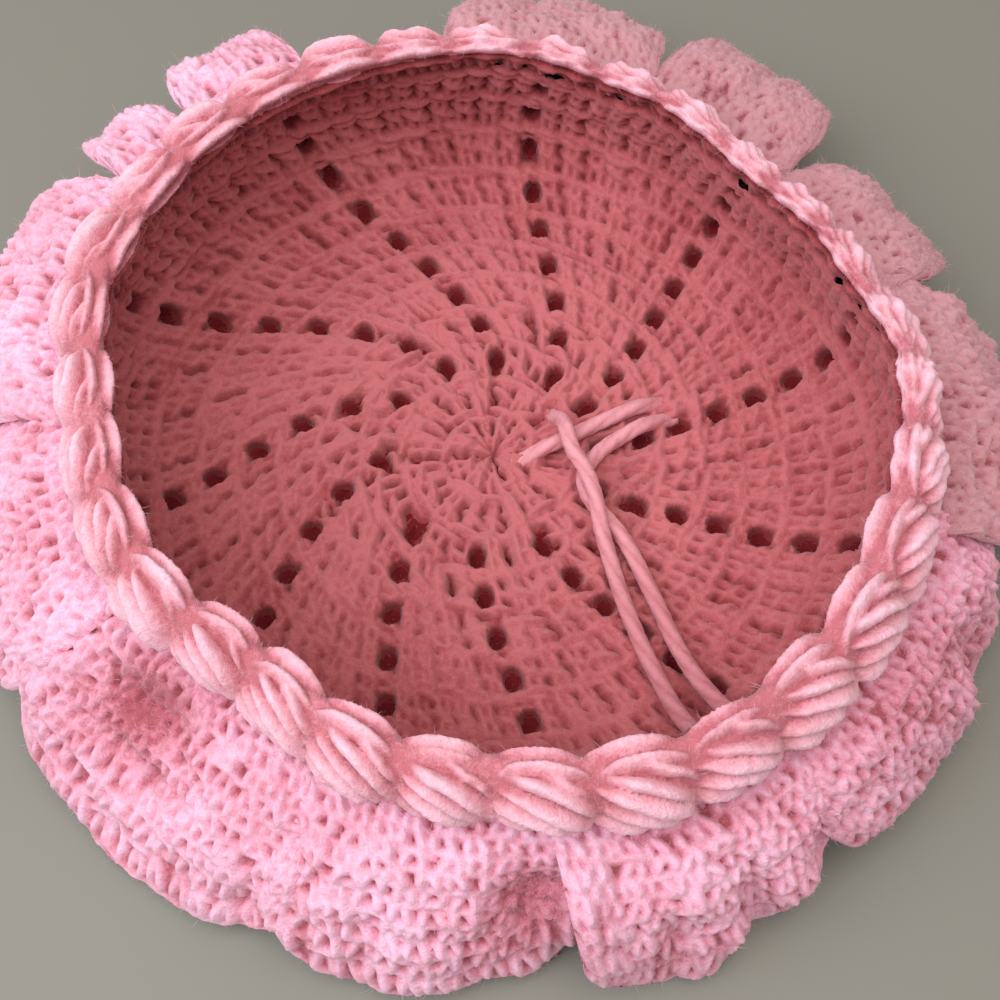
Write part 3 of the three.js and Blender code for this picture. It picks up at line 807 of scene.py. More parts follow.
# Strands outside the crown, below the rim
OUTER_DOWN = 10.0
OUTER_ROWS = 15
OUTER_COLUMNS = 560
OUTER_REACH = (3, 3)
OUTER_LEVEL = 0.8
OUTER_LOW = -0.3
# Painted shade in the pockets of the strands outside the crown: height at which their tone is deepest, and
# its height from there to the palest
OUTER_DEEPEST, OUTER_TONE_HEIGHT = -0.6, 2.0
OUTER_MARGIN = 2


def core_grid(depth, share):
    """Grid of the inner sheet at a depth, with the eyelets open to a share of their size."""
    runs = list(np.linspace(MAGIC_RING / 20, FIRST_EYELET - EYELET_LENGTH * share / 2, 5))
    open_rows = []
    for n in range(EYELET_ROUNDS):
        middle = FIRST_EYELET + n * PITCH
        open_rows.append(len(runs) - 1)
        runs += [middle + EYELET_LENGTH * share / 2, middle + PITCH / 2,
                 middle + PITCH - EYELET_LENGTH * share / 2]
    runs = np.array(runs[:-1])
    runs[-1] = FULL_RUN
    columns = len(LINES) * (CORE_CELLS + 1)
    angles = np.zeros((columns, len(runs)))
    half = np.degrees(EYELET_WIDTH * share / 2 / np.maximum(runs, FIRST_EYELET))
    for i in range(columns):
        line, place = divmod(i, CORE_CELLS + 1)
        here, following = line_angle(line, runs), line_angle(line + 1, runs)
        inside = here + half + (place - 1) * (following - here - 2 * half) / CORE_CELLS
        angles[i] = here - half if place == 0 else inside
    is_open = np.zeros((columns, len(runs) - 1), bool)
    for row in open_rows:
        is_open[::CORE_CELLS + 1, row] = True
    return crown_point(np.broadcast_to(runs, angles.shape), np.full(angles.shape, depth), angles), is_open


def outer_band(samples):
    """Points, faces and relief of the strands outside the crown, from the petals' roots to the rim."""
    runs = np.linspace(FULL_RUN - OUTER_DOWN, FULL_RUN + UNDER_RIM, OUTER_ROWS)
    run, angle = np.meshgrid(runs, np.arange(OUTER_COLUMNS) * 360 / OUTER_COLUMNS)
    depth = np.full_like(run, CORE_DEPTH[1])
    relief = Relief(crown_point(run, depth, angle), True)
    run_s, angle_s, depth_s, radius_s = samples[samples[:, 0] > runs[0] - OUTER_MARGIN].T
    relief.add(crown_point(run_s, np.full_like(run_s, CORE_DEPTH[1]), angle_s), angle_s * OUTER_COLUMNS / 360,
               (run_s - runs[0]) / (runs[1] - runs[0]), OUTER_LEVEL - depth_s, radius_s, OUTER_REACH)
    height = relief.heights(OUTER_LOW)
    place = crown_point(run, depth + height, angle).reshape(-1, 3)
    marks = np.clip((height.ravel() - OUTER_DEEPEST) / OUTER_TONE_HEIGHT, 0, 1)
    return place, grid_faces(OUTER_COLUMNS, OUTER_ROWS, True)[:, ::-1], marks


def crown_core():
    """Closed sheet with the eyelets cut through, as its front with the eyelets' walls in painted shade, and
    its back.
    """
    front, is_open = core_grid(CORE_DEPTH[0], 1.0)
    back, _ = core_grid(CORE_DEPTH[1], BACK_SHARE)
    columns, rows = is_open.shape
    lines = rows + 1
    half = columns * lines

    def corner(i, j, side):
        return (i % columns) * lines + j + side * half

    def cut(i, j):
        return not 0 <= j < rows or is_open[i % columns, j]

    quads, backs = [], []
    for i in range(columns):
        for j in range(rows):
            if is_open[i, j]:
                continue
            (a, b, c, d), (e, f, g, h) = (
                [corner(i + di, j + dj, side) for di, dj in ((0, 0), (0, 1), (1, 1), (1, 0))]
                for side in (0, 1))
            quads.append((a, b, c, d))
            backs.append((e, h, g, f))
            walls = (((i, j - 1), (a, d, h, e)), ((i, j + 1), (b, f, g, c)),
                     ((i - 1, j), (a, e, f, b)), ((i + 1, j), (d, c, g, h)))
            quads += [wall for beside, wall in walls if cut(*beside)]
    points = np.concatenate([front.reshape(-1, 3), back.reshape(-1, 3)])
    return ((points, [np.array(quads)], np.zeros(len(points))),
            (points, [np.array(backs)], np.full(len(points), BACK_TONE)))


# Short strands that lie over the slack middle: how many, how far out they reach, their radius, the spread of
# their directions in radians, their half-lengths, their sideways bow, and the depth and rise of their arch
LOOP_COUNT = 90
LOOP_REACH = 38.0
LOOP_RADIUS = 1.0
LOOP_TURN = 0.7
LOOP_HALVES = (1.6, 2.9)
LOOP_BOW = 0.9
LOOP_DEPTH = 1.5
LOOP_RISES = (0.8, 1.5)


def loose_loops(found):
    """Adds short arched strands that lie in every direction over the slack middle of the crown."""
    n = LOOP_COUNT
    middle_run = LOOP_REACH * np.sqrt(rng.uniform(0.03, 1, n))[:, None]
    middle_angle = rng.uniform(0, 360, n)[:, None]
    heading = rng.normal(0, LOOP_TURN, n)[:, None]
    half = rng.uniform(*LOOP_HALVES, n)[:, None]
    t = np.linspace(-1, 1, TALL_SAMPLES)
    onward = half * t
    sideways = LOOP_BOW * rng.normal(0, 1, (n, 1)) * (1 - t**2)
    run = np.maximum(middle_run + onward * np.cos(heading) - sideways * np.sin(heading), 1)
    across = onward * np.sin(heading) + sideways * np.cos(heading)
    angle = middle_angle + np.degrees(across / np.maximum(run, 3.0))
    depth = LOOP_DEPTH - rng.uniform(*LOOP_RISES, (n, 1)) * (1 - t**2)
    found.append(np.stack([run, angle, depth, np.full(run.shape, LOOP_RADIUS)], -1).reshape(-1, 4))


crown_samples = []
for round_number in range(1, EYELET_ROUNDS + 3):
    crown_round(round_number, crown_samples)
loose_loops(crown_samples)
crown_samples = np.concatenate(crown_samples)
crown_rows = crown_relief(crown_samples)
split = next(j for j, row in enumerate(crown_rows) if row[0] > FLOOR_SPLIT)
crown_pieces = [
    finished(relief_piece(crown_rows[:split + 1]), "crown_floor", SHADED_INSIDE_CLOTH, "crown"),
    finished(relief_piece(crown_rows[split:]), "crown_side", SHADED_INSIDE_CLOTH, "crown"),
]
core_front, (core_points, core_faces, core_marks) = crown_core()
band_points, band_faces, band_marks = outer_band(crown_samples)
core_back = (np.concatenate([core_points, band_points]), [*core_faces, band_faces + len(core_points)],
             np.concatenate([core_marks, band_marks]))
finished(core_front, "crown_inner_shade", SHADE_CORE, "crown", smooth=False)
finished(core_back, "crown_outer", OUTSIDE_CLOTH, "crown")

# ---------------------------------------------------------------- puff round
# Strands of one puff: radius, then x along the rim in shares of the puff, y up its lean and z out, in mm
PUFF = {
    "arch_inner": (1.3, [(-0.60, -0.8, -0.9), (-0.46, 2.4, -0.8), (-0.2, 4.6, -0.7), (0.14, 4.9, -0.7),
                         (0.4, 2.8, -0.9), (0.58, -0.6, -1.2)]),
    "arch_outer": (1.25, [(-0.54, -2.2, 1.2), (-0.46, 1.2, 1.8), (-0.24, 3.7, 1.9), (0.08, 4.2, 1.9),
                          (0.36, 2.6, 1.9), (0.54, -0.8, 1.2)]),
    "front_1": (1.3, [(-0.3, 1.6, 2.4), (-0.14, 1.7, 3.9), (0.08, 0.6, 4.5), (0.3, -1.8, 4.3),
                      (0.46, -4.6, 2.6)]),
    "front_2": (1.3, [(-0.46, -0.4, 1.8), (-0.28, -0.5, 4.0), (-0.04, -1.9, 4.8), (0.2, -4.2, 4.4),
                      (0.4, -6.6, 2.4)]),
    "front_3": (1.25, [(-0.54, -2.6, 1.6), (-0.36, -3.0, 3.8), (-0.12, -4.4, 4.4), (0.1, -6.1, 3.8),
                       (0.26, -7.4, 2.2)]),
    "front_4": (1.15, [(-0.54, -4.8, 1.8), (-0.4, -5.6, 3.2), (-0.22, -6.7, 3.3), (-0.04, -7.5, 2.2)]),
    "behind": (1.2, [(-0.1, 3.4, 0.6), (0.16, 2.8, 2.8), (0.36, 0.8, 3.2), (0.52, -2.0, 2.2)]),
    "tie": (1.0, [(-0.6, -1.6, -1.4), (-0.52, -1.4, 1.4), (-0.5, -3.4, 2.0), (-0.48, -5.8, 2.2)]),
}
# Inner face of the rim, in the tone of the inside, which is painted shade
PUFF_INSIDE = {
    "inner_top": (1.15, [(-0.62, 0.4, -2.0), (-0.3, 1.4, -2.4), (0.05, 1.8, -2.5), (0.36, 1.2, -2.4),
                         (0.62, 0.4, -2.0)]),
    "inner_low": (1.1, [(-0.62, -5.6, -1.6), (-0.28, -5.4, -2.3), (0.06, -5.3, -2.4), (0.36, -5.4, -2.3),
                        (0.62, -5.6, -1.6)]),
}
# Upright strands between those two: x of each at four levels, and y and z of the levels
POST_LEVELS = ((-6.2, -1.5), (-4.0, -2.7), (-1.6, -2.9), (0.8, -2.0))
POSTS = ((-0.46, -0.42, -0.38, -0.36), (-0.32, -0.28, -0.25, -0.24), (-0.1, -0.08, -0.05, -0.02),
         (0.06, 0.07, 0.1, 0.12), (0.24, 0.26, 0.28, 0.3), (0.4, 0.41, 0.43, 0.45))
for index, post in enumerate(POSTS):
    PUFF_INSIDE[f"post_{index + 1}"] = (1.1, [(x, y, z) for x, (y, z) in zip(post, POST_LEVELS)])
PUFF_SAMPLES = 34
PUFF_COLUMNS = 32
PUFF_ROWS = 76
PUFF_SOFTNESS = 9.0
PUFF_NARROW = 0.78
PUFF_REACH = (5, 5)
# Core that the strands lie on: middle and half-size up the lean, then the same outward
PUFF_BASE = (-1.2, 4.8, 0.3, 2.4)
PUFF_LOW = 0.2
PUFF_TONE_HEIGHT = 3.2
STRAND_LEVEL = 1.9
# Unevenness of the strands outside and inside the rim, of a strand along its length, of the puffs' sizes
# and of the radii, and the levels that no strand goes past
PUFF_UNEVEN, INSIDE_UNEVEN = 0.3, 0.2
WANDER = 0.05
PUFF_SIZES = 0.06
PUFF_RADII = (0.9, 1.08)
PUFF_LEVELS = (-7.6, 5.4)
# Turns between which the rim has the inside's painted shade, and how much further that goes at the back right
INSIDE_TURNS = (3.33, 5.28)
THIN_ROPE = 0.31
# The back right of the rim: its middle angle, and the half-widths where it ends and where it is full; there
# the rim is slimmer by a share, with beads of a height in mm, a number for each puff and a slant
BACK_RIGHT = (42, 80, 35)
SLIMMER = 0.34
BEADS, BEADS_EACH, BEAD_SLANT = 0.7, 2.3, 1.5

puff_step = 2 * math.pi * PUFF_RADIUS / PUFF_COUNT
puff_angles = FIRST_PUFF + np.arange(PUFF_COUNT) * 360 / PUFF_COUNT
puff_scale = 1 + rng.normal(0, PUFF_SIZES, (PUFF_COUNT, 1))


def back_right(angle):
    """1 in the middle of the back right of the rim, 0 away from it."""
    return smoothstep(-np.abs((angle - BACK_RIGHT[0] + 180) % 360 - 180), -BACK_RIGHT[1], -BACK_RIGHT[2])


def rim_point(angle, turn, height):
    """Point off the core of the rim: turn in radians from its top over its outside."""
    up, tall, out, wide = PUFF_BASE
    slim = 1 - SLIMMER * back_right(angle)
    up = up - tall * (1 - slim)
    tall, wide, height = tall * slim, wide * slim, height * slim
    ray = np.hypot(tall * np.cos(turn), wide * np.sin(turn))
    scale = 1 + height / ray
    return puff_point(angle, np.zeros_like(turn), up + scale * tall * np.cos(turn),
                      out + scale * wide * np.sin(turn))


def even_turns():
    """Turns whose points are evenly spaced round the rim's outline, from 0 to a whole turn."""
    turn = np.linspace(0, 2 * math.pi, 721)
    line = rim_point(np.full(turn.shape, 180.0), turn, np.full(turn.shape, STRAND_LEVEL))
    run = run_along(line)
    return turn, run / run[-1]


EVEN_TURN, EVEN_SHARE = even_turns()


def puff_samples(table, unevenness):
    """Samples (angle, turn, height, radius) of a table's strands in every puff."""
    up, tall, out, wide = PUFF_BASE
    found = []
    for radius, stops in table.values():
        curve, fullness = strand_samples(stops, PUFF_SAMPLES)
        local = curve[None] * (puff_step, 1, 1) + rng.normal(0, unevenness, (PUFF_COUNT, 1, 3))
        wander = np.cumsum(rng.normal(0, WANDER, local.shape), 1)
        local = local + wander - wander.mean(1, keepdims=True)
        level = np.clip(local[..., 1] * puff_scale, *PUFF_LEVELS)
        outward, upward = (local[..., 2] - out) / wide, (level - up) / tall
        turn = np.arctan2(outward, upward) % (2 * math.pi)
        height = (np.hypot(outward, upward) - 1) * np.hypot(tall * np.cos(turn), wide * np.sin(turn))
        angle = puff_angles[:, None] + np.degrees(local[..., 0] / PUFF_RADIUS)
        thick = radius * fullness[None] * rng.uniform(*PUFF_RADII, (PUFF_COUNT, 1))
        found.append(np.stack([angle, turn, height, thick], -1).reshape(-1, 4))
    return found


def rim_relief():
    """The rim's cloth outside and inside."""
    columns = PUFF_COUNT * PUFF_COLUMNS
    turns = np.interp(np.arange(PUFF_ROWS) / PUFF_ROWS, EVEN_SHARE, EVEN_TURN)
    turn, angle = np.meshgrid(turns, np.arange(columns) * 360 / columns)
    relief = Relief(rim_point(angle, turn, np.full_like(turn, STRAND_LEVEL)), True, True, PUFF_SOFTNESS)
    angle_s, turn_s, height_s, radius_s = np.concatenate(
        puff_samples(PUFF, PUFF_UNEVEN) + puff_samples(PUFF_INSIDE, INSIDE_UNEVEN)).T
    base_s = rim_point(angle_s, turn_s, np.full_like(turn_s, STRAND_LEVEL))
    rows_s = np.interp(turn_s, EVEN_TURN, EVEN_SHARE) * PUFF_ROWS
    relief.add(base_s, angle_s * columns / 360, rows_s, height_s, radius_s, PUFF_REACH, PUFF_NARROW)
    height = relief.heights(PUFF_LOW) + rng.normal(0, ROUGHNESS, turn.shape)
    beads = np.sin(np.radians(angle * PUFF_COUNT * BEADS_EACH) + BEAD_SLANT * turn)
    height += BEADS * back_right(angle) * beads
    points = rim_point(angle, turn, height).reshape(-1, 3)
    # Tone deeper where the rim's relief is low: painted shade in its pockets
    mark = np.clip((height - PUFF_LOW) / PUFF_TONE_HEIGHT, 0, 1).ravel()
    i, j = np.meshgrid(np.arange(columns), np.arange(PUFF_ROWS), indexing="ij")
    k, m = (i + 1) % columns, (j + 1) % PUFF_ROWS
    quads = np.stack([i * PUFF_ROWS + j, i * PUFF_ROWS + m, k * PUFF_ROWS + m, k * PUFF_ROWS + j], -1)
    rope_turn = INSIDE_TURNS[1] + THIN_ROPE * back_right(i * 360 / columns)
    within = (turns[j] >= INSIDE_TURNS[0]) & (turns[j] < rope_turn)
    return (points, [quads[~within]], mark), (points, [quads[within]], mark)


rim_outer, rim_inner = rim_relief()
puff_piece = finished(rim_outer, "puff_round", PUFF_CLOTH, "puff_rim")
rim_piece = finished(rim_inner, "rim_inside", SHADED_INSIDE_CLOTH, "puff_rim")

# ---------------------------------------------------------------- petals: rows of short stitches
# Strands of one short stitch: radius, then its stops: x in shares of the stitch's width, y in shares of the
# row, z in mm above the middle of the cloth
SHORT = {
    "leg_a": (0.86, [(-0.02, -0.3, -0.6), (-0.14, -0.04, 0.2), (-0.25, 0.3, 0.8), (-0.27, 0.58, 0.6),
                     (-0.16, 0.85, -0.5)]),
    "leg_b": (0.86, [(0.05, -0.3, -0.6), (0.15, 0.02, 0.2), (0.25, 0.36, 0.75), (0.27, 0.64, 0.65),
                     (0.18, 0.9, -0.5)]),
    "chain": (0.8, [(-0.6, 0.95, -0.5), (-0.34, 0.82, 0.1), (0.04, 0.82, 0.35), (0.38, 0.96, 0.0),
                    (0.6, 1.08, -0.5)]),
}
SHORT_SAMPLES = 11
ROW_PITCH = 3.6
HEM_ROWS = 2
HEM_PITCH = 5.0
STITCH_WIDTH = 4.0
# Unevenness of the short stitches: shift of a stitch and of a strand in shares of the stitch and mm of
# height, slant from row to row and its spread, and the spread of the radii
SHORT_SHIFT = (0.09, 0.09, 0.3)
SHORT_STRAND = (0.05, 0.06, 0.2)
SLANT, SLANT_SPREAD = 0.15, 0.1
SHORT_RADII = (0.85, 1.15)
# Share of a petal up to which its unevenness fades out towards the root
ROOT_CALM = 0.28
# Unevenness of the cloth: number of waves, size, spread of the sizes, and height
LUMP_WAVES = 5
LUMP_SIZE = 9.0
LUMP_SPREAD = (0.8, 2.2)
LUMP_HEIGHT = 0.6
PETAL_GRID = 0.45
PETAL_REACH = (4, 4)
PETAL_LOW = -1.0
PETAL_NARROW = 0.88
PETAL_SOFTNESS = 4.2
# Back of the cloth: how far behind its middle it lies, and how much of the front's relief it has
PETAL_BACK = 1.0
BACK_RELIEF = 0.3
# Smoother petals at the back right: share of the relief, and how much deeper in tone, as painted shade
PETAL_CALM = {1: (0.7, 0.1), 2: (0.5, 0.15), 3: (0.45, 0.15), 4: (0.5, 0.1), 5: (0.6, 0.1), 6: (0.7, 0.0),
              7: (0.7, 0.0), 12: (0.85, 0.12), 13: (0.8, 0.3)}
PLAIN_CALM = (0.85, 0.0)
HEM_CALM = 0.45
# From this share of a petal on, its hem gets calmer and scalloped
HEM_START = 0.8
SCALLOP = 0.015
EDGE_ROUND = 1.4
EDGE_TONE = 0.55
CORNER_ROUND = 0.05
BACK_CORNER_ROUND = 0.24
BACK_PETALS = (2, 3, 4, 5, 6, 7, 8)
# Petals in the darker tones of painted shade
SHADED_PETALS = (1, 2, 3, 4)
# Furrow between two petals: depth in mm, and the share of the half-width where it starts
VALLEY = 1.1
VALLEY_START = 0.72
SIDE_OVERLAP = 3.8
# Shares of a back petal between which its overlap ends
BACK_OVERLAP = (0.2, 0.9)
# Least height of a petal's front above the table: at its edge, further in, and for each mm of relief; and
# the least thickness of its cloth
FRONT_FLOOR = (0.1, 0.9, 0.25)
THINNEST_CLOTH = 0.05

# Hollows of a petal's cloth: petal, place across and along, half-widths across and along, depth in mm
HOLLOWS = [
    (10, -0.3, 0.3, 0.42, 0.22, 6.0),
    (10, -0.2, 0.58, 0.5, 0.07, 2.5),
    (10, 0.85, 0.85, 0.12, 0.3, 3.0),
    (11, 0.8, 0.48, 0.33, 0.34, 8.5),
    (11, -0.35, 0.75, 0.12, 0.3, 1.5),
    (12, -0.95, 0.55, 0.2, 0.4, -3.8),
    (12, -0.35, 0.8, 0.12, 0.3, 2.0),
    (12, 0.3, 0.75, 0.14, 0.35, 2.5),
    (12, 0.95, 0.75, 0.12, 0.2, 4.0),
    (13, 0.4, 0.75, 0.15, 0.3, 2.5),
    (9, 0.1, 0.65, 0.2, 0.4, 2.0),
    (8, -0.3, 0.6, 0.15, 0.4, 2.0),
    (3, 0.0, 0.7, 0.12, 0.4, 1.6),
    (4, 0.3, 0.7, 0.12, 0.4, 1.6),
]
# How much deeper in tone a hollow is painted for each mm of its depth: painted shade
HOLLOW_SHADE = 0.07
# The petal whose hem runs on past its tucked edge, below the deep hollow, and how much further it runs
DEEP_PETAL = 11
HEM_REACH = 0.3
HEM_PLACE, HEM_WIDTH, HEM_FROM = 0.95, 0.35, 0.6
# How far the next petal keeps clear of the hollow at its tip, in shares of its half-width
EDGE_TRIM = 0.12
EDGE_REACH = 0.22
# Places of painted shade on the petals: petal, place across and along, half-widths, depth of the tone
PAINTED_SHADE_SPOTS = [
    (10, -0.3, 0.25, 0.46, 0.32, 0.65),
    (10, 0.0, 0.55, 0.3, 0.1, 0.3),
    (11, 0.85, 0.5, 0.32, 0.3, 0.6),
    (8, -0.6, 0.5, 0.2, 0.4, 0.25),
    (12, 0.0, 0.1, 0.6, 0.12, 0.2),
]


def lumps(points, seed):
    """Soft unevenness of hand-made cloth, in mm, from a few waves of seeded directions."""
    waves = np.random.default_rng(seed)
    total = np.zeros(points.shape[:-1])
    for _ in range(LUMP_WAVES):
        way = waves.normal(0, 1, 3)
        way *= 2 * math.pi / (LUMP_SIZE * waves.uniform(*LUMP_SPREAD) * np.linalg.norm(way))
        total += np.sin(points @ way + waves.uniform(0, 2 * math.pi))
    return total * LUMP_HEIGHT / 2


def petal_rows(number):
    """Rows of a petal: where each starts, how tall it is, and its stitches. The hem rows are taller."""
    length = polyline(petal_middle(number, np.zeros(60), np.linspace(0, 1, 60)))
    short_rows = max(1, int(round((length - HEM_ROWS * HEM_PITCH) / ROW_PITCH)))
    tall = np.array([ROW_PITCH] * short_rows + [HEM_PITCH] * HEM_ROWS)
    ends = np.concatenate([[0], np.cumsum(tall)]) / tall.sum()
    across = np.linspace(-ACROSS_END, ACROSS_END, 60)
    found = []
    for low, high in zip(ends[:-1], ends[1:]):
        width = polyline(petal_middle(number, across, np.full(60, (low + high) / 2)))
        found.append((low, high - low, max(3, int(round(width / STITCH_WIDTH)))))
    return length, found


def petal_cloth(number):
    """Cloth of a petal: relief on its front, a plainer back, and walls between them at its edges."""
    length, rows_of_stitches = petal_rows(number)
    widest = STITCH_WIDTH * max(row[2] for row in rows_of_stitches)
    columns, rows = (2 * int(size / PETAL_GRID / 2) + 1 for size in (widest, length))
    spread = 1 + SIDE_OVERLAP * 2 / widest
    corner = BACK_CORNER_ROUND if number in BACK_PETALS else CORNER_ROUND
    hem = rows_of_stitches[-1][2]

    def warped(aside, onward):
        """Place across and along the petal of a place in its grid of stitches."""
        waves = np.abs(np.sin(math.pi * hem * (aside + 1) / 2))
        scallop = SCALLOP * (waves * smoothstep(onward, HEM_START, 1) - 1)
        along = onward * (1 - corner * aside**4) + scallop
        wide = aside * spread
        if number in BACK_PETALS:
            wide = aside * (1 + (spread - 1) * (1 - smoothstep(onward, *BACK_OVERLAP)))
        if number == DEEP_PETAL:
            wide = wide + EDGE_REACH * np.maximum(onward, 0) * (wide + spread) / 2
            there = np.exp(-((aside - HEM_PLACE) / HEM_WIDTH) ** 2)
            along = along * (1 + HEM_REACH * there * smoothstep(along, HEM_FROM, 1))
        if number == DEEP_PETAL + 1:
            wide = wide + EDGE_TRIM * onward * (spread - wide) / 2
        return wide, along

    aside, onward = np.meshgrid(np.linspace(-1, 1, columns), np.linspace(0, 1, rows), indexing="ij")
    across, share = warped(aside, onward)
    flat = petal_point(number, across, share, np.zeros_like(across))
    relief = Relief(flat, False, softness=PETAL_SOFTNESS)
    for index, (start, tall, n) in enumerate(rows_of_stitches):
        shift = rng.normal(0, 1, (n, 3)) * SHORT_SHIFT
        way = 1 if index % 2 else -1
        slant = way * SLANT + rng.normal(0, SLANT_SPREAD, (n, 1))
        for radius, stops in SHORT.values():
            curve, fullness = strand_samples(stops, SHORT_SAMPLES)
            local = curve[None] + shift[:, None] + rng.normal(0, 1, (n, 1, 3)) * SHORT_STRAND
            shifted = local[..., 0] * way + slant * (local[..., 1] - 0.5)
            where = (np.arange(n)[:, None] + 0.5 + shifted) / n * 2 - 1
            along = start + tall * local[..., 1]
            base = petal_point(number, *warped(where, along), np.zeros_like(along))
            thick = radius * fullness[None] * rng.uniform(*SHORT_RADII, (n, 1)) * np.ones_like(along)
            relief.add(base.reshape(-1, 3), (where.ravel() + 1) / 2 * (columns - 1),
                       along.ravel() * (rows - 1), local[..., 2].ravel(), thick.ravel(), PETAL_REACH,
                       PETAL_NARROW)
    calm, deeper = PETAL_CALM.get(number, PLAIN_CALM)
    relief_height = relief.heights(PETAL_LOW)
    hem_calm = 1 - HEM_CALM * smoothstep(onward, HEM_START, 1)
    height = relief_height * calm * hem_calm + rng.normal(0, ROUGHNESS, across.shape)
    to_side = (1 - np.abs(aside)) * widest / 2
    to_tip = np.broadcast_to(np.linspace(1, 0, rows) * length, across.shape)
    edge = np.clip(np.minimum(to_side, to_tip) / EDGE_ROUND, 0, 1)
    full = np.sqrt(1 - (1 - edge) ** 2)
    valley = 0.0 if number == DEEP_PETAL + 1 else VALLEY
    furrow = np.where(across < 0, valley, VALLEY) * smoothstep(np.abs(aside), VALLEY_START, 1.0)
    bend = lumps(flat, number) - furrow
    painted_shade = np.zeros_like(across)
    for depth, pit in spots(HOLLOWS, number, across, share):
        bend = bend - depth * pit
        painted_shade = painted_shade + max(depth, 0) * pit * HOLLOW_SHADE
    bend = bend * smoothstep(onward, 0, ROOT_CALM)
    for depth, shade_spot in spots(PAINTED_SHADE_SPOTS, number, across, share):
        painted_shade = painted_shade + depth * shade_spot
    front = petal_point(number, across, share, bend + height * full)
    back = petal_point(number, across, share, bend - (PETAL_BACK + BACK_RELIEF * height) * full)
    at_edge, inward, by_relief = FRONT_FLOOR
    lowest = TABLE_GAP + at_edge + inward * full + by_relief * height
    front[..., 2] = np.maximum(front[..., 2], lowest)
    back[..., 2] = np.minimum(np.maximum(back[..., 2], TABLE_GAP), front[..., 2] - THINNEST_CLOTH * full)
    back = back[::2, ::2]
    count, fewer = columns * rows, (rows + 1) // 2
    top = grid_faces(columns, rows, False)
    below = grid_faces((columns + 1) // 2, fewer, False, count)[:, ::-1]
    walls = []
    i, j = np.arange(columns), np.arange(rows)
    for line, turned in (((i, i * 0), False), ((i, i * 0 + rows - 1), True),
                         ((j * 0, j), True), ((j * 0 + columns - 1, j), False)):
        fine = line[0] * rows + line[1]
        coarse = count + (line[0] // 2 * fewer + line[1] // 2)[::2]
        a0, a1, a2, b0, b1 = fine[:-1:2], fine[1::2], fine[2::2], coarse[:-1], coarse[1:]
        strip = np.concatenate([np.stack(t, 1) for t in ((a0, a1, b0), (a1, b1, b0), (a1, a2, b1))])
        walls.append(strip[:, ::-1] if turned else strip)
    # Tone from the relief, deepened by the painted shade of pockets, hollows, shaded places and shaded petals
    mark = np.clip((relief_height - PETAL_LOW) / TONE_HEIGHT, 0, 1) - painted_shade - deeper
    mark = np.maximum(mark, EDGE_TONE * (1 - full) - deeper)
    return (np.concatenate([front.reshape(-1, 3), back.reshape(-1, 3)]), [top, below, *walls],
            np.concatenate([mark.ravel(), mark[::2, ::2].ravel()]))


petal_pieces = []
for number in range(1, len(PETALS) + 1):
    petal_pieces.append(finished(petal_cloth(number), f"petal_{number:02d}_yarn",
                                 SHADED_CLOTH if number in SHADED_PETALS else OUTSIDE_CLOTH,
                                 f"petal_{number:02d}"))

# ---------------------------------------------------------------- fuzz: fibres that stand off the yarn
# Fibres, in mm: radius, depth of the root, height of the lowest above the table; and the spread of their
# directions, of their droop in shares of the length, and the two shapes of the spread of their lengths
FIBRE_RADIUS = 0.03
FIBRE_ROOT = 0.2
FIBRE_LOWEST = 0.05
FIBRE_SPREAD = 0.6
FIBRE_DROOP = 0.45
FIBRE_LENGTHS = (1.2, 3.0)
# Half way along a bent fibre: share of the droop and of the radius
HALF_DROOP, HALF_RADIUS = 0.2, 0.8


def surface(pieces):
    """Points and normals of some pieces, in mm."""
    points, normals = [], []
    for piece in pieces:
        mesh = piece.data
        place, way = np.empty(len(mesh.vertices) * 3), np.empty(len(mesh.vertices) * 3)
        mesh.vertices.foreach_get("co", place)
        mesh.vertex_normals.foreach_get("vector", way)
        points.append(place.reshape(-1, 3) / MM - HAT_CENTRE)
        normals.append(way.reshape(-1, 3))
    return np.concatenate(points), np.concatenate(normals)


def fuzz(name, pieces, count, shortest, longest, bent, material):
    """Needle-thin closed fibres from random places of some pieces, straight or with one bend."""
    points, normals = surface(pieces)
    picked = rng.integers(0, len(points), count)
    root, out = points[picked], normals[picked]
    way = out + rng.normal(0, FIBRE_SPREAD, (count, 3))
    way /= np.linalg.norm(way, axis=1, keepdims=True)
    length = shortest + (longest - shortest) * rng.beta(*FIBRE_LENGTHS, (count, 1))
    side = np.cross(way, rng.normal(0, 1, (count, 3)))
    side /= np.linalg.norm(side, axis=1, keepdims=True)
    across = np.cross(way, side)
    turn = np.arange(3)[:, None] * 2 * math.pi / 3
    ring = side[:, None] * np.cos(turn) + across[:, None] * np.sin(turn)
    foot = (root - way * FIBRE_ROOT)[:, None] + ring * FIBRE_RADIUS
    droop = rng.normal(0, FIBRE_DROOP, (count, 3)) * length
    middle = (root + way * length * 0.5 + droop * HALF_DROOP)[:, None] + ring * FIBRE_RADIUS * HALF_RADIUS
    tip = (root + way * length + droop * bent)[:, None]
    block = np.concatenate([foot, middle, tip] if bent else [foot, tip], 1)
    block[..., 2] = np.maximum(block[..., 2], FIBRE_LOWEST)
    last = block.shape[1] - 1
    base = np.arange(count)[:, None, None] * (last + 1)
    k = np.arange(3)
    m = (k + 1) % 3
    caps = np.vstack([(2, 1, 0), np.stack([k + last - 3, m + last - 3, np.full(3, last)], 1)])
    faces = [(base + caps).reshape(-1, 3)]
    if bent:
        faces.append((base + np.stack([k, m, m + 3, k + 3], 1)).reshape(-1, 4))
    points = block.reshape(-1, 3)
    finished((points, faces, np.zeros(len(points))), name, material, None)


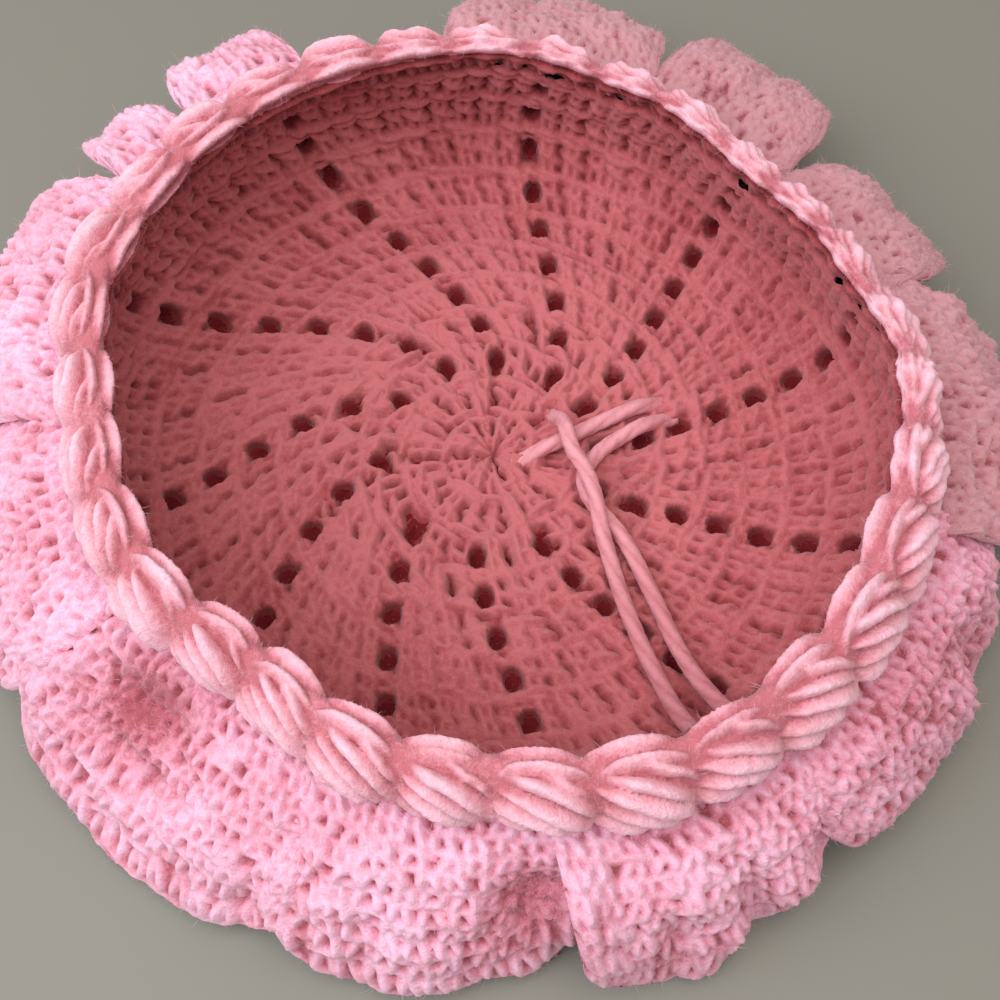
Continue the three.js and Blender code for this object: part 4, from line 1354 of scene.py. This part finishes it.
fuzz("fuzz_petals", petal_pieces, 22000, 0.4, 1.5, False, FUZZ_OUTSIDE)
fuzz("fuzz_petals_long", petal_pieces, 5000, 0.8, 2.6, True, FUZZ_OUTSIDE)
fuzz("fuzz_puffs", [puff_piece], 8000, 0.4, 1.3, False, FUZZ_OUTSIDE)
fuzz("fuzz_puffs_long", [puff_piece], 2000, 0.8, 2.2, True, FUZZ_OUTSIDE)
fuzz("fuzz_crown", crown_pieces + [rim_piece], 10000, 0.4, 1.3, False, SHADED_FUZZ)
fuzz("fuzz_ends", end_pieces, 2500, 0.4, 1.6, False, SHADED_FUZZ)

# ---------------------------------------------------------------- floor and light
def floor_material():
    shade = Shade("pale_floor")
    colour = shade.blend(shade.noise(shade.place(), 3.0), (0.208, 0.203, 0.176), (0.228, 0.222, 0.193))
    shade.put(shade.surface, [("Base Color", colour), ("Roughness", 0.6)])
    return shade.material


floor_mesh = bpy.data.meshes.new("floor")
FLOOR_HALF = 1.5
floor_mesh.from_pydata([(-FLOOR_HALF, -FLOOR_HALF, 0), (FLOOR_HALF, -FLOOR_HALF, 0),
                        (FLOOR_HALF, FLOOR_HALF, 0), (-FLOOR_HALF, FLOOR_HALF, 0)], [], [(0, 1, 2, 3)])
floor_mesh.materials.append(floor_material())
floor = bpy.data.objects.new("floor", floor_mesh)
scene.collection.objects.link(floor)


def area_light(name, place, target, size, power, colour):
    data = bpy.data.lights.new(name, "AREA")
    data.size = size
    data.energy = power
    data.color = colour
    lamp = bpy.data.objects.new(name, data)
    lamp.location = place
    lamp.rotation_mode = "QUATERNION"
    lamp.rotation_quaternion = (Vector(target) - Vector(place)).to_track_quat("-Z", "Y")
    scene.collection.objects.link(lamp)


LIT_PLACE = (0, 0, 0.02)
area_light("window", (-0.5, -0.16, 0.56), LIT_PLACE, 0.6, 3.9, (0.92, 0.95, 1.0))
area_light("ceiling", (0.04, -0.12, 0.92), LIT_PLACE, 0.8, 5.6, (1.0, 0.95, 0.9))

ROOM_COLOUR = (1.0, 0.95, 0.9, 1)
ROOM_LIGHT = 0.42
world = bpy.data.worlds.new("room")
world.use_nodes = True
background = world.node_tree.nodes["Background"]
background.inputs["Color"].default_value = ROOM_COLOUR
background.inputs["Strength"].default_value = ROOM_LIGHT
scene.world = world
scene.view_settings.view_transform = "Standard"
scene.view_settings.look = "None"
